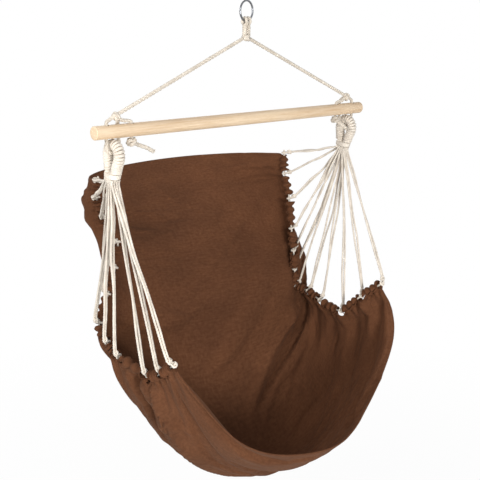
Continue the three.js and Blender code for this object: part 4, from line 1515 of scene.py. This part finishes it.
for side_name, side_sign in SIDES:
    for clew in clew_routes(side_name, side_sign):
        make_clew(side_name, side_sign, *clew)

# %% [markdown]
# ## Floor, light and background
# The photograph has a plain white background. The floor and the world show white to the camera
# and to reflections, while the light on the chair stays soft and plain. Below the chair the floor
# keeps a small share of its real shade, so that a soft shadow shows. The key lamp stands in
# front, a weaker one on the left, and the weakest behind.

# %% Stage
shade_from, shade_to, near_white = 1.85, 2.7, 0.94


def white_to_camera(tree, plain, white, output, share=1.0):
    """White for rays from the camera, a reflection or a clear piece, else the plain shader."""
    rays = add_node(tree, "ShaderNodeLightPath").outputs
    seen = rays["Is Camera Ray"]
    for name in ("Is Glossy Ray", "Is Transmission Ray"):
        seen = math_node(tree, "MAXIMUM", seen, rays[name])
    mix = add_node(tree, "ShaderNodeMixShader", {
        "Fac": math_node(tree, "MULTIPLY", seen, share), 1: plain.outputs[0], 2: white.outputs[0]})
    tree.links.new(mix.outputs[0], tree.nodes[output].inputs["Surface"])


def make_stage(size=30.0, floor_z=-1.75):
    """A floor that shows nearly white near the chair, and white further out."""
    material, tree, shader = start_material("pale_floor", 1.0)
    shader.inputs["Base Color"].default_value = srgb(235, 235, 233)
    shader.inputs["Specular IOR Level"].default_value = 0.0
    corners = [(x * size, y * size, floor_z) for x, y in ((-1, -1), (1, -1), (1, 1), (-1, 1))]
    floor = new_piece("floor", corners, [(0, 1, 2, 3)], material, smooth=False)
    far = add_node(tree, "ShaderNodeVectorMath", {0: coordinates(tree)}, operation="LENGTH")
    share = add_node(tree, "ShaderNodeMapRange", {
        "Value": far.outputs["Value"], "From Min": shade_from, "From Max": shade_to,
        "To Min": near_white, "To Max": 1.0})
    glow = add_node(tree, "ShaderNodeEmission", {"Color": (1, 1, 1, 1)})
    white_to_camera(tree, shader, glow, "Material Output", share.outputs["Result"])


def make_world():
    world = bpy.data.worlds.new("studio")
    bpy.context.scene.world = world
    world.use_nodes = True
    tree = world.node_tree
    soft = tree.nodes["Background"]
    soft.inputs["Color"].default_value = (0.93, 0.95, 1.0, 1)
    soft.inputs["Strength"].default_value = 0.54
    white = add_node(tree, "ShaderNodeBackground", {"Color": (1, 1, 1, 1), "Strength": 1.0})
    white_to_camera(tree, soft, white, "World Output")


def add_lamp(name, place, target, size, power):
    data = bpy.data.lights.new(name, "AREA")
    data.shape, data.size, data.energy = "DISK", size, power
    lamp = bpy.data.objects.new(name, data)
    bpy.context.scene.collection.objects.link(lamp)
    lamp.location = place
    lamp.rotation_euler = (Vector(target) - Vector(place)).to_track_quat("-Z", "Y").to_euler()


make_stage()
make_world()
add_lamp("key", (-1.3, -3.6, -0.8), (0, -0.2, -1.2), size=1.3, power=104)
add_lamp("left", (-2.6, -0.3, 0.7), (0.35, 0, -0.95), size=1.4, power=52)
add_lamp("back", (1.6, 3.2, 0.6), (0, 0, -0.9), size=2.0, power=30)
bpy.context.scene.view_settings.view_transform = "Standard"
print("stage, world and lamps are set")
